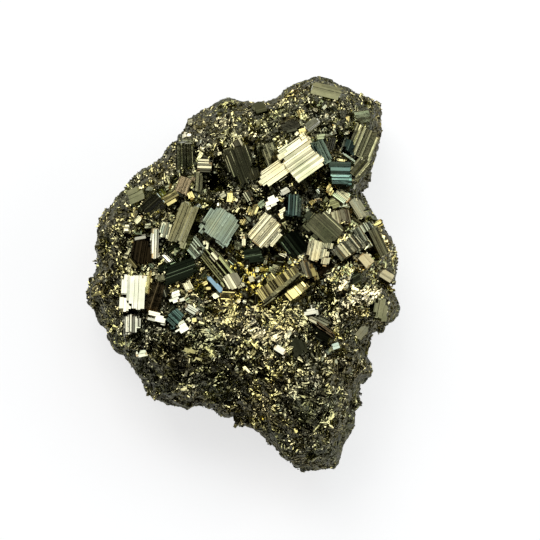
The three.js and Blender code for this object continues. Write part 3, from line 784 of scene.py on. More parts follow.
@dataclass
class InfillCubes:
    """The many smaller striated cubes between the large ones.

    Each zone is the middle and the two reaches of an ellipse in plan, in mm. length, width and depth
    are shares of a cube's side.
    """

    solid: Solid
    material: bpy.types.Material
    seed: int = 23
    tries: int = 2600
    zones: tuple[tuple[float, float, float, float], ...] = (
        (4, 12, 21, 11), (-14, 8, 9, 10), (-13, -4, 9, 6), (20, 9, 6, 4), (2, 0, 9, 6), (17, 27, 8, 6),
    )
    sides: Pair = (0.8, 2.5)
    small_bias: float = 1.8
    length: Pair = (0.9, 1.5)
    mean_length: float = 1.2
    width: Pair = (0.6, 1.0)
    depth: float = 1.4
    stand: Pair = (0.2, 0.9)
    spacing: float = 0.62
    clearance: float = 0.3
    lit_share: float = 0.4
    # Cubes that lean to the light get pale tints and the others dark ones: painted light and shade.
    lit: InfillKind = InfillKind((12, 22), (85, 130), (Tint.CREAM, Tint.GOLD, Tint.CREAM))
    unlit: InfillKind = InfillKind((4, 40), (0, 360), (Tint.OLIVE, Tint.DARK, Tint.GREY))

    def least_gap(self, side: float, other: Cube) -> float:
        """How far a cube's middle stays from that of another one."""
        return self.spacing * (side + other.size[0]) / self.mean_length

    def spread(self, rng: random.Random) -> list[Cube]:
        """Chooses the cubes so that they crowd the hollow without hiding the large ones.

        Args:
            rng: The source of their scatter.

        Returns:
            The cubes.
        """
        chosen: list[Cube] = []
        fixed = (*LARGE_CUBES, *SMALL_CUBES)
        for _ in range(self.tries):
            x0, y0, reach_x, reach_y = rng.choice(self.zones)
            angle = rng.uniform(0, 2 * math.pi)
            share = math.sqrt(rng.random())
            at = (x0 + reach_x * share * math.cos(angle), y0 + reach_y * share * math.sin(angle))
            side = self.sides[0] + (self.sides[1] - self.sides[0]) * rng.random() ** self.small_bias
            kind = self.lit if rng.random() < self.lit_share else self.unlit
            cube = Cube(
                at, (side * rng.uniform(*self.length), side * rng.uniform(*self.width), side * self.depth),
                rng.uniform(0, 180), rng.uniform(*kind.lean), rng.uniform(*kind.toward),
                rng.choice(kind.tints), rng.choice((Stripe.BOLD, Stripe.FINE)), rng.uniform(*self.stand),
            )
            face = np.array([self.solid.top_at(*at)])
            if self.solid.depth_in_cubes(face, fixed)[0] > -self.clearance:
                continue
            if all(math.dist(at, other.at) > self.least_gap(side, other) for other in chosen):
                chosen.append(cube)
        return chosen

    def build(self) -> bpy.types.Object:
        """Makes the joined piece.

        Returns:
            The piece.
        """
        rng = random.Random(self.seed)
        pile = MeshPile()
        for cube in self.spread(rng):
            placing = self.solid.placing(cube) @ Matrix.Translation((0, 0, -cube.size[2] / 2))
            StriatedBlock(cube.size, cube.stripe, cube.tint, rng).grow(pile, placing)
        return pile.build("infill_cubes", self.material)


@dataclass
class GranularMass:
    """The massive pyrite under the crust, whose surface breaks up into small facets.

    deepest and highest are how far a facet may lie from the solid, in shares of the relief.
    """

    solid: Solid
    material: bpy.types.Material
    voxel: float = 0.5 * MM
    cell: float = 1.3 * MM
    relief: float = 0.26 * MM
    sunk_share: float = 0.6
    deepest: float = 2.2
    highest: float = 1.2
    facet_slope: float = 0.45
    base_margin: float = 0.8 * MM
    cube_clearance: float = 0.3
    sink_under_cubes: float = 0.7 * MM

    def build(self) -> bpy.types.Object:
        """Makes the mass from a finely divided copy of the solid.

        Returns:
            The piece.
        """
        source = add_object("mass_source", self.solid.mesh.copy())
        remesh = source.modifiers.new("divide", "REMESH")
        remesh.mode = "VOXEL"
        remesh.voxel_size = self.voxel
        mesh = to_plain_mesh(source, "granular_mass")
        self.facet(mesh)
        mesh.materials.clear()
        mesh.materials.append(self.material)
        mesh.polygons.foreach_set("use_smooth", np.zeros(len(mesh.polygons), bool))
        return add_object("granular_mass", mesh)

    def facet(self, mesh: bpy.types.Mesh) -> None:
        """Moves the vertices along their normals so that each small cell becomes a tilted facet.

        Args:
            mesh: The mesh to break up.
        """
        places = read_vectors(mesh.vertices, "co")
        normals = read_vectors(mesh.vertices, "normal")
        centres, seeds = nearest_cell(places, self.cell)
        slopes = (scatter3(seeds, 5) - 0.5) * 2 * self.facet_slope
        offset = (scatter3(seeds, 9)[:, 0] - self.sunk_share) * 2 * self.relief
        offset = offset + np.sum((places - centres) * slopes, axis=1)
        fade = np.clip((places[:, 2] - self.base_margin) / (2 * self.base_margin), 0, 1)
        offset = np.clip(offset, -self.deepest * self.relief, self.highest * self.relief) * fade
        near_cube = self.solid.depth_in_cubes(places, LARGE_CUBES) > -self.cube_clearance
        offset = np.where(near_cube, -self.sink_under_cubes, offset)
        write_places(mesh, places + normals * offset[:, None])


@dataclass(frozen=True)
class Region:
    """A part of the surface where the grains lie in their own way.

    at and radii are in mm in plan. lit is the share of grains that face the light side, crowding how
    closely they stand, tint their colour, partly tarnish and partly painted light and shade (above 1
    where grains are drawn lit, below 1 on shaded slopes), and aim the azimuth and the lean, in degrees,
    that turn a grain to the light.
    """

    at: Pair
    radii: Pair
    lit: float
    crowding: float
    tint: Triple
    aim: Pair = TO_KEY_LIGHT


REGIONS = (
    Region((4, -11), (13, 6.5), 0.72, 1.0, (1.12, 1.05, 0.85)),
    Region((26.5, 3), (6.5, 6.5), 0.95, 1.0, (1.45, 1.38, 1.2)),
    Region((25, -7), (6.5, 5.5), 0.9, 1.0, (1.25, 1.2, 1.05)),
    Region((22.5, 2), (6.5, 5), 0.95, 1.0, (1.9, 1.7, 1.35), (58, 17)),
    Region((-4.5, 26), (4.5, 2.5), 0.5, 1.0, (1.0, 1.0, 0.95)),
    Region((15, 31), (7, 4.5), 0.3, 1.0, (0.95, 0.95, 0.85)),
    Region((-14, -8), (7, 4), 0.14, 0.9, (1.0, 1.0, 0.95)),
    Region((-12, -17), (11, 6), 0.12, 0.9, (0.55, 0.56, 0.5)),
    Region((16, -27), (8, 9), 0.3, 0.9, (0.6, 0.6, 0.54)),
    Region((16, -18), (7, 3), 0.4, 1.0, (0.95, 0.92, 0.82)),
    Region((4, -1), (10, 5.5), 0.3, 0.9, (1.02, 0.87, 0.3)),
    Region((20, -31), (4.5, 8), 0.75, 1.0, (1.0, 0.98, 0.88)),
    Region((2, 14), (19, 9), 0.2, 0.9, (0.9, 0.88, 0.74)),
)
COMMON_TINT = (1.08, 1.04, 0.82)
COMMON_LIT = 0.32
COMMON_CROWDING = 0.85


class Side(Enum):
    """Which part of the specimen a crust covers."""

    UPPER = "upper"
    FLANK = "flank"


class Grain(Enum):
    """The kinds of grain, each with its number of smaller shards grown onto the first."""

    GROWN = 1
    PLAIN = 0


@dataclass
class GrainShape:
    """The few small shapes that a crust's grains are copies of, in shares of a grain's size."""

    grain: Grain
    kinds: int = 8
    seed: int = 5
    stand: float = 0.3
    taper: Pair = (0.0, 0.85)
    ridge_width: Pair = (0.15, 0.95)
    part_side: Pair = (0.35, 0.75)
    part_out: Pair = (0.25, 0.42)
    part_up: Pair = (-0.2, 0.16)
    parallel_share: float = 0.6
    part_turn: Pair = (-0.5, 0.5)

    def build(self) -> bpy.types.Collection:
        """Makes one object for each kind, in a collection of their own.

        Returns:
            The collection.
        """
        rng = random.Random(self.seed)
        name = self.grain.name.lower() + "_grain"
        collection = bpy.data.collections.new(name)
        bpy.context.scene.collection.children.link(collection)
        for kind in range(self.kinds):
            shape = bmesh.new()
            self.add_shard(shape, rng, (1, 1, 1), Vector((0, 0, self.stand - 0.5)), Euler())
            for _ in range(self.grain.value):
                part = tuple(rng.uniform(*self.part_side) for _ in range(3))
                middle = Vector((
                    rng.choice((-1, 1)) * rng.uniform(*self.part_out),
                    rng.choice((-1, 1)) * rng.uniform(*self.part_out),
                    self.stand - part[2] / 2 + rng.uniform(*self.part_up),
                ))
                parallel = rng.random() < self.parallel_share
                turn = Euler() if parallel else Euler([rng.uniform(*self.part_turn)] * 3)
                self.add_shard(shape, rng, part, middle, turn)
            mesh = bpy.data.meshes.new(f"{name}_{kind}")
            shape.to_mesh(mesh)
            shape.free()
            collection.objects.link(bpy.data.objects.new(mesh.name, mesh))
        return collection

    def add_shard(
        self, shape: bmesh.types.BMesh, rng: random.Random, size: Triple, middle: Vector, turn: Euler
    ) -> None:
        """Adds a block that narrows towards one end, with its top drawn together to a ridge.

        Args:
            shape: Where it goes.
            rng: The source of its scatter.
            size: Its three sides.
            middle: Its middle.
            turn: How it is turned.
        """
        corners = bmesh.ops.create_cube(shape, size=1.0)["verts"]
        taper = rng.uniform(*self.taper)
        ridge = rng.uniform(*self.ridge_width)
        ridge_shift = rng.uniform(-0.5, 0.5) * (1 - ridge)
        for corner in corners:
            if corner.co.z > 0:
                corner.co.y = corner.co.y * ridge + ridge_shift
            if corner.co.x > 0:
                corner.co.y *= 1 - taper
        bmesh.ops.transform(shape, matrix=Matrix.LocRotScale(middle, turn, Vector(size)), verts=corners)


class NodeSheet:
    """A node tree that is being laid out."""

    def __init__(self, tree: bpy.types.NodeTree) -> None:
        """Takes the tree."""
        self.tree = tree

    def fill(self, node: bpy.types.Node, inputs: Mapping[str | int, object]) -> None:
        """Joins a socket to each named input of a node, or sets it where a plain value is given.

        Args:
            node: The node.
            inputs: The value of each input, by the input's name or number.
        """
        for key, value in inputs.items():
            if isinstance(key, int):
                target = node.inputs[key]
            else:
                target = next(s for s in node.inputs if s.name == key and s.enabled)
            if isinstance(value, Socket):
                self.tree.links.new(value, target)
            else:
                target.default_value = value

    def node(self, kind: str, inputs: Mapping[str | int, object], **settings: object) -> bpy.types.Node:
        """Makes a node.

        Args:
            kind: Its type.
            inputs: What fill gives its inputs.
            **settings: Its properties.

        Returns:
            The node.
        """
        made = self.tree.nodes.new(kind)
        for name, value in settings.items():
            setattr(made, name, value)
        self.fill(made, inputs)
        return made

    def out(
        self, kind: str, inputs: Mapping[str | int, object], output: str = "", **settings: object
    ) -> Socket:
        """Makes a node for one of its outputs.

        Args:
            kind: The node's type.
            inputs: What fill gives its inputs.
            output: The output's name, or nothing for the first that the node shows.
            **settings: The node's properties.

        Returns:
            The output's socket.
        """
        made = self.node(kind, inputs, **settings)
        return next(s for s in made.outputs if s.enabled and output in ("", s.name))


class GroupSheet(NodeSheet):
    """A node group that is being laid out."""

    def __init__(self, name: str, kind: str, inputs: Mapping[str, str], outputs: Mapping[str, str]) -> None:
        """Makes the group with its sockets.

        Args:
            name: The group's name.
            kind: The type of its tree.
            inputs: The type of each named input, without the words that all of them start with.
            outputs: The same for the outputs.
        """
        super().__init__(bpy.data.node_groups.new(name, kind))
        self.sockets = {
            socket: self.tree.interface.new_socket(socket, in_out="INPUT", socket_type="NodeSocket" + sort)
            for socket, sort in inputs.items()
        }
        for socket, sort in outputs.items():
            self.tree.interface.new_socket(socket, in_out="OUTPUT", socket_type="NodeSocket" + sort)
        self.inputs = self.tree.nodes.new("NodeGroupInput").outputs
        self.end = self.tree.nodes.new("NodeGroupOutput")


class CrustTree(GroupSheet):
    """The Geometry Nodes that scatter grains over a surface."""

    INPUTS = {
        "Geometry": "Geometry", "Spacing": "Float", "Density": "Float", "Smallest": "Float",
        "Largest": "Float", "Flatness": "Float", "Tilt": "Float", "Lit Tilt": "Float", "Swirl": "Float",
        "Darkest": "Float", "Seed": "Int", "Grains": "Collection", "Material": "Material",
    }
    swirl_turn: float = 11.0
    stretch: Pair = (0.65, 1.35)
    length_and_width: Pair = (1.5, 0.62)
    # Grains that face the light are drawn no darker than darkest_lit, the others as dark as the Darkest
    # input: painted light and shade.
    darkest_lit: float = 0.8
    lightest: float = 1.15

    def __init__(self) -> None:
        """Builds the tree."""
        super().__init__("crust_of_grains", "GeometryNodeTree", self.INPUTS, {"Geometry": "Geometry"})
        is_lit = self.lit_choice()
        tinted = self.out("GeometryNodeStoreNamedAttribute", {
            "Geometry": self.points(), "Name": TINT, "Value": self.colour(is_lit),
        }, data_type="FLOAT_COLOR", domain="POINT")
        shapes = self.out("GeometryNodeCollectionInfo", {
            "Collection": self.inputs["Grains"], "Separate Children": True, "Reset Children": True,
        })
        placed = self.out("GeometryNodeInstanceOnPoints", {
            "Points": tinted, "Instance": shapes, "Pick Instance": True,
            "Rotation": self.rotation(is_lit), "Scale": self.scale(),
        })
        real = self.out("GeometryNodeRealizeInstances", {0: placed})
        finished = self.out("GeometryNodeSetMaterial", {
            "Geometry": real, "Material": self.inputs["Material"],
        })
        self.fill(self.end, {"Geometry": finished})

    def named(self, name: str, kind: str) -> Socket:
        """The socket of a named attribute of the surface."""
        return self.out("GeometryNodeInputNamedAttribute", {"Name": name}, data_type=kind)

    def draws(self, low: float, high: float, salt: int) -> Socket:
        """Three random numbers for each grain.

        Args:
            low: The least that each may be.
            high: The most.
            salt: What is added to the seed.

        Returns:
            The numbers, as a vector.
        """
        seed = self.out("ShaderNodeMath", {0: self.inputs["Seed"], 1: salt}, operation="ADD")
        ends = {"Min": (low,) * 3, "Max": (high,) * 3}
        return self.out("FunctionNodeRandomValue", {**ends, "Seed": seed}, data_type="FLOAT_VECTOR")

    def draw(self, salt: int) -> Socket:
        """One random number from 0 to 1 for each grain."""
        return self.out("ShaderNodeSeparateXYZ", {0: self.draws(0, 1, salt)})

    def product(self, first: Socket, second: Socket | Triple) -> Socket:
        """Two vectors multiplied part by part."""
        return self.out("ShaderNodeVectorMath", {0: first, 1: second}, operation="MULTIPLY")

    def scaled(self, vector: Socket, factor: Socket) -> Socket:
        """A vector made longer or shorter."""
        return self.out("ShaderNodeVectorMath", {0: vector, "Scale": factor}, operation="SCALE")

    def turned(self, rotation: Socket, angles: Socket) -> Socket:
        """A rotation turned further in its own axes by Euler angles."""
        turn = self.out("FunctionNodeEulerToRotation", {0: angles})
        return self.out("FunctionNodeRotateRotation", {0: rotation, 1: turn}, rotation_space="LOCAL")

    def switch(self, kind: str, choice: Socket, otherwise: Socket, chosen: Socket | float) -> Socket:
        """One of two values of a kind: the second where the choice is true."""
        values = {"Switch": choice, "False": otherwise, "True": chosen}
        return self.out("GeometryNodeSwitch", values, input_type=kind)

    def lit_choice(self) -> Socket:
        """True for the grains that face the light side."""
        values = {"A": self.draw(4), "B": self.named(LIT, "FLOAT")}
        return self.out("FunctionNodeCompare", values, data_type="FLOAT", operation="LESS_THAN")

    def points(self) -> Socket:
        """Where the grains stand, closest where the crust is crowded.

        Returns:
            The points.
        """
        return self.out("GeometryNodeDistributePointsOnFaces", {
            "Mesh": self.inputs["Geometry"],
            "Distance Min": self.inputs["Spacing"],
            "Density Max": self.inputs["Density"],
            "Density Factor": self.named(CROWDING, "FLOAT"),
            "Seed": self.inputs["Seed"],
        }, distribute_method="POISSON")

    def rotation(self, is_lit: Socket) -> Socket:
        """How each grain is turned: to the light or out of the surface, then swirled and tilted.

        Args:
            is_lit: True for the grains that face the light side.

        Returns:
            The rotation.
        """
        facing, aim = self.named(FACING, "FLOAT_VECTOR"), self.named(AIM, "FLOAT_VECTOR")
        way = self.switch("VECTOR", is_lit, facing, aim)
        upright = self.out("FunctionNodeAlignRotationToVector", {"Vector": way}, axis="Z")
        swirl = self.out("ShaderNodeTexNoise", {"Detail": 0, "Scale": self.inputs["Swirl"]}, "Color")
        spun = self.turned(upright, self.product(swirl, (0, 0, self.swirl_turn)))
        most = self.switch("FLOAT", is_lit, self.inputs["Tilt"], self.inputs["Lit Tilt"])
        return self.turned(spun, self.scaled(self.draws(-1, 1, 1), most))

    def scale(self) -> Socket:
        """How long, wide and high each grain is.

        Returns:
            The scale.
        """
        size = self.out("FunctionNodeRandomValue", {
            "Min": self.inputs["Smallest"], "Max": self.inputs["Largest"], "Seed": self.inputs["Seed"],
        }, data_type="FLOAT")
        length, width = self.length_and_width
        form = self.out("ShaderNodeCombineXYZ", {0: length, 1: width, 2: self.inputs["Flatness"]})
        shaped = self.product(self.draws(*self.stretch, 2), form)
        return self.scaled(self.scaled(shaped, size), self.named(GROWTH, "FLOAT"))

    def colour(self, is_lit: Socket) -> Socket:
        """Each grain's colour: the surface's tint in a shade of its own, with painted light and shade:
        grains that face the light are drawn lighter than the others.

        Args:
            is_lit: True for the grains that face the light side.

        Returns:
            The colour.
        """
        shade = self.out("ShaderNodeMapRange", {
            "Value": self.draw(3),
            "To Min": self.switch("FLOAT", is_lit, self.inputs["Darkest"], self.darkest_lit),
            "To Max": self.lightest,
        })
        return self.scaled(self.named(TINT, "FLOAT_VECTOR"), shade)


@dataclass
class Crust:
    """One layer of grains over part of the specimen.

    Lengths are in mm, density is grains in a square mm, and tilts are in degrees. A grain is smaller
    below full_height and on steep ground, and none stands lower than lowest. A domain is a small patch
    with a shade, a warmth and a share of lit grains of its own.
    """

    name: str
    spacing: float
    density: float
    smallest: float
    largest: float
    flatness: float
    tilt: float
    seed: int
    side: Side
    grain: Grain
    lit_tilt: float = 9.0
    swirl: float = 260.0
    rim_slope: float = 0.42
    lit_slope: float = 0.16
    full_height: float = 11.0
    rim_growth: float = 0.05
    least_growth: float = 0.6
    lowest: float = 1.3
    longest_edge: float = 0.9
    divisions: int = 3
    touch: float = 0.03
    cube_margin: float = 0.35
    # darkest and darkest_on_flank are painted shade: how dark the grains that don't face the light may be
    # drawn.
    darkest: float = 0.1
    darkest_on_flank: float = 0.4
    domain: float = 1.9
    domain_contrast: float = 1.3
    domain_shade: float = 0.6
    domain_warmth: float = 0.45
    region_edge: float = 0.7
    region_slope: float = 0.3
    hollow_crowding: float = 0.3
    # painted_hollow_shade darkens the grains in the hollows: painted shade.
    painted_hollow_shade: float = 0.2

    def holds(self, face: bmesh.types.BMFace) -> bool:
        """Whether a face of the solid belongs to this layer."""
        is_flank = face.normal.z < self.rim_slope
        return face.calc_center_median().z >= self.lowest * MM and is_flank == (self.side is Side.FLANK)

    def surface(self, solid: Solid) -> bpy.types.Object:
        """The faces of the solid that this layer grows on, with what the tree reads from them.

        Args:
            solid: The specimen.

        Returns:
            An object with the surface's mesh.
        """
        shape = bmesh.new()
        shape.from_mesh(solid.mesh)
        middles = np.array([f.calc_center_median() for f in shape.faces])
        on_cube = solid.depth_in_cubes(middles, LARGE_CUBES) > -self.touch
        unwanted = [f for f, cube_side in zip(shape.faces, on_cube) if cube_side or not self.holds(f)]
        bmesh.ops.delete(shape, geom=unwanted, context="FACES")
        for _ in range(self.divisions):
            long_edges = [e for e in shape.edges if e.calc_length() > self.longest_edge * MM]
            bmesh.ops.subdivide_edges(shape, edges=long_edges, cuts=1, use_grid_fill=False)
            bmesh.ops.triangulate(shape, faces=shape.faces)
        mesh = bpy.data.meshes.new(self.name + "_surface")
        shape.to_mesh(mesh)
        shape.free()
        self.describe(mesh, solid)
        return add_object(mesh.name, mesh)

    def describe(self, mesh: bpy.types.Mesh, solid: Solid) -> None:
        """Writes what the tree reads at each vertex.

        Args:
            mesh: The layer's surface.
            solid: The specimen.
        """
        places = read_vectors(mesh.vertices, "co") / MM
        normals = read_vectors(mesh.vertices, "normal")
        upward = normals[:, 2]
        plan = places[:, :2] - np.array(PLAN_SHIFT)
        tint = np.tile(np.array(COMMON_TINT), (len(places), 1))
        crowding = np.full(len(places), COMMON_CROWDING)
        lit = np.full(len(places), COMMON_LIT)
        aim = np.tile(np.array(polar_vector(*TO_KEY_LIGHT)), (len(places), 1))
        for region in REGIONS:
            distance = np.sum(((plan - region.at) / region.radii) ** 2, axis=1)
            share = np.exp(-(distance ** 2) * self.region_edge) * (upward > self.region_slope)
            lit += share * (region.lit - lit)
            tint += share[:, None] * (np.array(region.tint) - tint)
            aim += share[:, None] * (np.array(polar_vector(*region.aim)) - aim)
            crowding += share * (region.crowding - crowding)
        _, seeds = nearest_cell(places, self.domain)
        draws = scatter3(seeds, 3)
        lit = lit ** np.exp(self.domain_contrast * (2 * draws[:, 0] - 1))
        lit *= np.clip((upward - self.lit_slope) / self.lit_slope, 0, 1)
        tint *= 1 + self.domain_shade * (draws[:, 1:2] - 0.5)
        tint[:, 2] *= 1 + self.domain_warmth * (draws[:, 2] - 0.5)
        height = np.clip(places[:, 2] / self.full_height, self.least_growth, 1)
        growth = np.clip(self.rim_growth + upward, self.least_growth, 1) * height
        depth = solid.depth_in_cubes(places * MM, (*LARGE_CUBES, *SMALL_CUBES))
        crowding *= np.clip(-depth / self.cube_margin, 0, 1) * height
        in_hollow = solid.depth_in_cubes(places * MM, HOLLOWS) > -self.cube_margin
        crowding[in_hollow] *= self.hollow_crowding
        # Painted shade: grains in the hollows are drawn dark and none faces the light.
        tint[in_hollow] *= self.painted_hollow_shade
        lit[in_hollow] = 0
        for name, values in ((FACING, normals), (AIM, aim), (TINT, tint)):
            attribute = mesh.attributes.new(name, "FLOAT_VECTOR", "POINT")
            attribute.data.foreach_set("vector", values.astype(np.float32).ravel())
        for name, values in ((LIT, lit), (GROWTH, growth), (CROWDING, crowding)):
            attribute = mesh.attributes.new(name, "FLOAT", "POINT")
            attribute.data.foreach_set("value", values.astype(np.float32))

    def build(
        self, solid: Solid, tree: CrustTree, grains: bpy.types.Collection, material: bpy.types.Material
    ) -> bpy.types.Object:
        """Grows the layer.

        Args:
            solid: The specimen.
            tree: The nodes that scatter the grains.
            grains: The grain shapes.
            material: The grains' material.

        Returns:
            The piece.
        """
        source = self.surface(solid)
        modifier = source.modifiers.new("crust", "NODES")
        modifier.node_group = tree.tree
        values = {
            "Spacing": self.spacing * MM,
            "Density": self.density / MM ** 2,
            "Smallest": self.smallest * MM,
            "Largest": self.largest * MM,
            "Flatness": self.flatness,
            "Tilt": math.radians(self.tilt),
            "Lit Tilt": math.radians(self.lit_tilt),
            "Swirl": self.swirl,
            "Darkest": self.darkest_on_flank if self.side is Side.FLANK else self.darkest,
            "Seed": self.seed,
            "Grains": grains,
            "Material": material,
        }
        for name, value in values.items():
            modifier[tree.sockets[name].identifier] = value
        mesh = to_plain_mesh(source, self.name)
        write_places(mesh, read_vectors(mesh.vertices, "co"))
        return add_object(self.name, mesh)


CRUSTS = (
    Crust("crust_upper_coarse", 0.9, 0.6, 0.7, 1.4, 0.8, 22, 3, Side.UPPER, Grain.GROWN),
    Crust("crust_upper_medium", 0.46, 2.4, 0.4, 0.95, 0.9, 28, 4, Side.UPPER, Grain.GROWN),
    Crust("crust_upper_fine", 0.24, 6.4, 0.3, 0.66, 1.0, 32, 6, Side.UPPER, Grain.PLAIN),
    Crust("crust_flank_coarse", 0.8, 0.7, 0.5, 0.95, 0.45, 7, 5, Side.FLANK, Grain.GROWN),
    Crust("crust_flank_fine", 0.36, 3.0, 0.3, 0.7, 0.6, 12, 7, Side.FLANK, Grain.PLAIN),
)


def set_stops(ramp: bpy.types.ColorRamp, stops: Sequence[tuple[float, Triple]]) -> None:
    """Gives a new ramp its stops.

    Args:
        ramp: The ramp, with the two stops that it starts with.
        stops: Each stop's place and colour, in order.
    """
    ramp.elements[0].position = stops[0][0]
    ramp.elements[1].position = stops[-1][0]
    for place, _ in stops[1:-1]:
        ramp.elements.new(place)
    for stop, (_, colour) in zip(ramp.elements, stops):
        stop.color = (*colour, 1)


class ShaderGroups:
    """Shader node groups that the finishes share. patches are the places and colours of the tarnish."""

    patches: tuple[tuple[float, Triple], ...] = (
        (0.3, (0.72, 0.78, 0.70)), (0.5, (0.98, 0.98, 0.95)), (0.7, (1.0, 0.93, 0.76)),
    )
    spot_scale: float = 900
    spot_roughness: Pair = (0.7, 1.5)
    lightest_facet: float = 1.05

    def __init__(self) -> None:
        """Builds the groups."""
        self.tarnish = self.build_tarnish()
        self.relief = self.build_relief()
        self.facets = self.build_facets()

    def product(self, sheet: NodeSheet, first: Socket, second: Socket) -> Socket:
        """The product of two colours."""
        values = {0: 1.0, "A": first, "B": second}
        return sheet.out("ShaderNodeMix", values, data_type="RGBA", blend_type="MULTIPLY")

    def build_tarnish(self) -> bpy.types.NodeTree:
        """Patches of warmer, greener and darker colour, and rougher spots.

        Returns:
            The group.
        """
        inputs = {
            "Place": "Vector", "Base": "Color", "Tint": "Color",
            "Patch Scale": "Float", "Roughness": "Float",
        }
        sheet = GroupSheet("tarnish", "ShaderNodeTree", inputs, {"Color": "Color", "Roughness": "Float"})
        sheet.sockets["Tint"].default_value = (1, 1, 1, 1)
        place = sheet.inputs["Place"]
        cloud = {"Vector": place, "Scale": sheet.inputs["Patch Scale"], "Detail": 4}
        patches = sheet.node("ShaderNodeValToRGB", {0: sheet.out("ShaderNodeTexNoise", cloud)})
        set_stops(patches.color_ramp, self.patches)
        tinted = self.product(sheet, sheet.inputs["Base"], sheet.inputs["Tint"])
        spots = sheet.out("ShaderNodeTexNoise", {"Vector": place, "Scale": self.spot_scale, "Detail": 3})
        least, most = self.spot_roughness
        spread = sheet.out("ShaderNodeMapRange", {"Value": spots, "To Min": least, "To Max": most})
        rough = {0: spread, 1: sheet.inputs["Roughness"]}
        sheet.fill(sheet.end, {
            "Color": self.product(sheet, tinted, patches.outputs["Color"]),
            "Roughness": sheet.out("ShaderNodeMath", rough, operation="MULTIPLY"),
        })
        return sheet.tree

    def build_relief(self) -> bpy.types.NodeTree:
        """Fine pits and ripples of a natural crystal face.

        Returns:
            The group.
        """
        inputs = {"Place": "Vector", "Scale": "Float"}
        sheet = GroupSheet("fine_relief", "ShaderNodeTree", inputs, {"Height": "Float"})
        cloud = {"Vector": sheet.inputs["Place"], "Scale": sheet.inputs["Scale"], "Detail": 5}
        sheet.fill(sheet.end, {"Height": sheet.out("ShaderNodeTexNoise", cloud)})
        return sheet.tree

    def build_facets(self) -> bpy.types.NodeTree:
        """The smallest facets of a grain: each turns its own way and has its own shade.

        Returns:
            The group.
        """
        inputs = {"Place": "Vector", "Color": "Color", "Scale": "Float", "Tilt": "Float", "Darkest": "Float"}
        outputs = {"Normal": "Vector", "Color": "Color"}
        sheet = GroupSheet("smallest_facets", "ShaderNodeTree", inputs, outputs)
        grid = {"Vector": sheet.inputs["Place"], "Scale": sheet.inputs["Scale"]}
        cells = sheet.out("ShaderNodeTexVoronoi", grid, "Color")
        centred = sheet.out("ShaderNodeVectorMath", {0: cells, 1: (0.5, 0.5, 0.5)}, operation="SUBTRACT")
        lean = {0: centred, "Scale": sheet.inputs["Tilt"]}
        turn = sheet.out("ShaderNodeVectorMath", lean, operation="SCALE")
        normal = sheet.out("ShaderNodeNewGeometry", {}, "Normal")
        turned = sheet.out("ShaderNodeVectorMath", {0: normal, 1: turn}, operation="ADD")
        draw = sheet.out("ShaderNodeSeparateColor", {0: cells}, "Green")
        shade = sheet.out("ShaderNodeMapRange", {
            "Value": draw, "To Min": sheet.inputs["Darkest"], "To Max": self.lightest_facet,
        })
        grey = sheet.out("ShaderNodeCombineColor", {0: shade, 1: shade, 2: shade})
        sheet.fill(sheet.end, {
            "Normal": sheet.out("ShaderNodeVectorMath", {0: turned}, operation="NORMALIZE"),
            "Color": self.product(sheet, sheet.inputs["Color"], grey),
        })
        return sheet.tree


@dataclass(frozen=True)
class PyriteFinish:
    """The metallic finish of one kind of pyrite surface.

    patch_scale and relief_scale are how fine its tarnish and its ripples are. facet_size is in mm,
    facet_tilt is how far the smallest facets turn, and facet_shade is the brightness of the darkest.
    """

    name: str
    base: Triple
    roughness: float
    patch_scale: float
    relief_scale: float
    relief_strength: float
    facet_size: float
    facet_tilt: float
    facet_shade: float
    has_tint: bool = True
    relief_depth: float = 0.08 * MM

    def material(self, groups: ShaderGroups) -> bpy.types.Material:
        """Builds the material.

        Args:
            groups: The shared shader node groups.

        Returns:
            The material.
        """
        made = bpy.data.materials.new(self.name)
        made.use_nodes = True
        sheet = NodeSheet(made.node_tree)
        place = sheet.out("ShaderNodeTexCoord", {}, "Object")
        tarnish = sheet.node("ShaderNodeGroup", {
            "Place": place,
            "Base": (*self.base, 1),
            "Patch Scale": self.patch_scale,
            "Roughness": self.roughness,
        }, node_tree=groups.tarnish)
        if self.has_tint:
            tint = sheet.out("ShaderNodeAttribute", {}, "Color", attribute_name=TINT)
            sheet.fill(tarnish, {"Tint": tint})
        facets = sheet.node("ShaderNodeGroup", {
            "Place": place,
            "Color": tarnish.outputs["Color"],
            "Scale": 1 / (self.facet_size * MM),
            "Tilt": self.facet_tilt,
            "Darkest": self.facet_shade,
        }, node_tree=groups.facets)
        ripples = {"Place": place, "Scale": self.relief_scale}
        bump = sheet.out("ShaderNodeBump", {
            "Strength": self.relief_strength,
            "Distance": self.relief_depth,
            "Height": sheet.out("ShaderNodeGroup", ripples, node_tree=groups.relief),
            "Normal": facets.outputs["Normal"],
        })
        sheet.fill(made.node_tree.nodes["Principled BSDF"], {
            "Metallic": 1.0,
            "Base Color": facets.outputs["Color"],
            "Roughness": tarnish.outputs["Roughness"],
            "Normal": bump,
        })
        return made


PYRITE = (0.62, 0.59, 0.38)
# The mass that shows between the grains is darker than their pyrite: partly a duller surface, partly painted
# shade in the gaps.
DULL_AND_SHADED_PYRITE = (0.28, 0.27, 0.18)
FACE_FINISH = PyriteFinish("striated_face", PYRITE, 0.14, 160, 1400, 0.3, 0.9, 0.03, 0.96)
GRAIN_FINISH = PyriteFinish("grain", PYRITE, 0.08, 120, 1500, 0.12, 0.45, 0.2, 0.7)
MASS_FINISH = PyriteFinish("mass", DULL_AND_SHADED_PYRITE, 0.22, 120, 1200, 0.8, 0.45, 0.8, 0.3, has_tint=False)


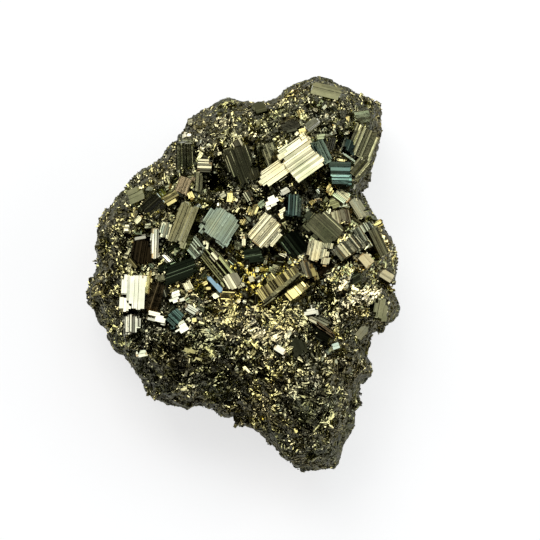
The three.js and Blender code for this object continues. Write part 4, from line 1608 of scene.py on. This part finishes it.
@dataclass(frozen=True)
class SoftBox:
    """A square soft light that points at the specimen. Its size is in metres and its angles in degrees."""

    name: str
    azimuth: float
    polar: float
    side: float
    radiance: float
    colour: Triple = (1, 1, 1)
    distance: float = 1.2

    def build(self) -> None:
        """Adds the light."""
        data = bpy.data.lights.new(self.name, "AREA")
        data.shape = "SQUARE"
        data.size = self.side
        data.energy = self.radiance * math.pi * self.side ** 2
        data.color = self.colour
        light = add_object(self.name, data)
        way = polar_vector(self.azimuth, self.polar)
        light.location = way * self.distance
        light.rotation_mode = "QUATERNION"
        light.rotation_quaternion = way.to_track_quat("Z", "Y")


@dataclass
class Studio:
    """The pale floor, the soft lights and the camera that looks straight down.

    wall_levels are how bright the crystals see the room's walls, each as a place from the far side to
    the key light's side, and the level there. Lengths are in metres.
    """

    camera_height: float = 2.5
    view_width: float = 0.108
    rim_height: float = 0.012
    far_clip: float = 10
    aim: Pair = (0.00555, 0.0007)
    floor_side: float = 6.0
    floor_colour: Triple = (0.85, 0.85, 0.85)
    floor_roughness: float = 0.9
    floor_glow: float = 0.7
    mirrored_floor_glow: float = 0.2
    seen_room: Triple = (0.9, 0.9, 0.9)
    wall_polar: float = 75.0
    wall_levels: tuple[Pair, ...] = ((0.0, 0.008), (0.45, 0.04), (0.75, 0.28), (1.0, 0.6))
    boxes: tuple[SoftBox, ...] = (
        SoftBox("key", KEY_LIGHT_AZIMUTH, KEY_LIGHT_POLAR, 0.55, 2.5),
        SoftBox("window", 54, 34, 0.56, 1.15, (0.76, 0.9, 1.0)),
        SoftBox("left_fill", 178, 46, 0.5, 0.45),
        SoftBox("right_fill", -22, 44, 0.5, 0.42),
        SoftBox("low_fill", 268, 30, 0.6, 0.1),
        SoftBox("right_wall", 14, 63, 0.8, 0.9),
        SoftBox("upper_left", 150, 29, 0.2, 0.7),
        SoftBox("right_low", -25, 70, 0.8, 0.45),
    )

    def build(self) -> None:
        """Adds the floor, lights, world and camera."""
        self.build_floor()
        for box in self.boxes:
            box.build()
        self.build_world()
        self.build_camera()
        bpy.context.scene.view_settings.view_transform = "Standard"

    def build_floor(self) -> None:
        """Adds the pale floor, which looks brighter than what the crystals mirror of it."""
        half = self.floor_side / 2
        corners = [(-half, -half, 0), (half, -half, 0), (half, half, 0), (-half, half, 0)]
        mesh = bpy.data.meshes.new("floor")
        mesh.from_pydata(corners, [], [(0, 1, 2, 3)])
        floor = add_object("floor", mesh)
        made = bpy.data.materials.new("pale_floor")
        made.use_nodes = True
        sheet = NodeSheet(made.node_tree)
        seen = sheet.out("ShaderNodeLightPath", {}, "Is Camera Ray")
        more = {0: seen, 1: self.floor_glow - self.mirrored_floor_glow, 2: self.mirrored_floor_glow}
        sheet.fill(made.node_tree.nodes["Principled BSDF"], {
            "Base Color": (*self.floor_colour, 1),
            "Roughness": self.floor_roughness,
            "Emission Color": (1, 1, 1, 1),
            "Emission Strength": sheet.out("ShaderNodeMath", more, operation="MULTIPLY_ADD"),
        })
        mesh.materials.append(made)

    def build_world(self) -> None:
        """Makes the room: pale where it is seen, dark where the crystals mirror it."""
        world = bpy.data.worlds.new("room")
        bpy.context.scene.world = world
        world.use_nodes = True
        sheet = NodeSheet(world.node_tree)
        seen = world.node_tree.nodes["Background"]
        sheet.fill(seen, {"Color": (*self.seen_room, 1)})
        ways = {
            0: sheet.out("ShaderNodeTexCoord", {}, "Generated"),
            1: polar_vector(KEY_LIGHT_AZIMUTH, self.wall_polar),
        }
        towards = sheet.out("ShaderNodeVectorMath", ways, "Value", operation="DOT_PRODUCT")
        walls = sheet.node("ShaderNodeValToRGB", {0: towards})
        set_stops(walls.color_ramp, [(place, (level,) * 3) for place, level in self.wall_levels])
        mirrored = sheet.out("ShaderNodeBackground", {"Color": walls.outputs["Color"]})
        is_seen = sheet.out("ShaderNodeLightPath", {}, "Is Camera Ray")
        room = sheet.out("ShaderNodeMixShader", {0: is_seen, 1: mirrored, 2: seen.outputs[0]})
        sheet.fill(world.node_tree.nodes["World Output"], {"Surface": room})

    def build_camera(self) -> None:
        """Adds the camera, straight above the specimen."""
        data = bpy.data.cameras.new("camera")
        reach = self.camera_height - self.rim_height
        data.lens = data.sensor_width * reach / self.view_width
        data.clip_end = self.far_clip
        camera = add_object("camera", data)
        camera.location = (*self.aim, self.camera_height)
        bpy.context.scene.camera = camera


def remove_shapes(shapes: bpy.types.Collection) -> None:
    """Takes the shapes that grains are copied from out of the scene.

    Args:
        shapes: Their collection.
    """
    for shape in list(shapes.objects):
        bpy.data.objects.remove(shape)
    bpy.data.collections.remove(shapes)


def count_triangles(piece: bpy.types.Object) -> int:
    """How many triangles a piece has."""
    piece.data.calc_loop_triangles()
    return len(piece.data.loop_triangles)


def main() -> None:
    """Builds the specimen's pieces and the studio."""
    logging.basicConfig(level=logging.INFO, format="%(message)s")
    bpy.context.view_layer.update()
    solid = Solid(frame["nodes"][NODE])
    groups = ShaderGroups()
    face = FACE_FINISH.material(groups)
    grain = GRAIN_FINISH.material(groups)
    mass = MASS_FINISH.material(groups)

    pieces = [part.build() for part in (
        GranularMass(solid, mass), StriatedCubes(solid, face), InfillCubes(solid, face),
    )]
    tree = CrustTree()
    shapes = {kind: GrainShape(kind).build() for kind in Grain}
    pieces += [crust.build(solid, tree, shapes[crust.grain], grain) for crust in CRUSTS]
    for collection in shapes.values():
        remove_shapes(collection)

    for piece in pieces:
        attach(piece, BODY)
        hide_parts(NODE)
        log.info("%s: %d triangles", piece.name, count_triangles(piece))
    Studio().build()


if __name__ == "__main__":
    main()
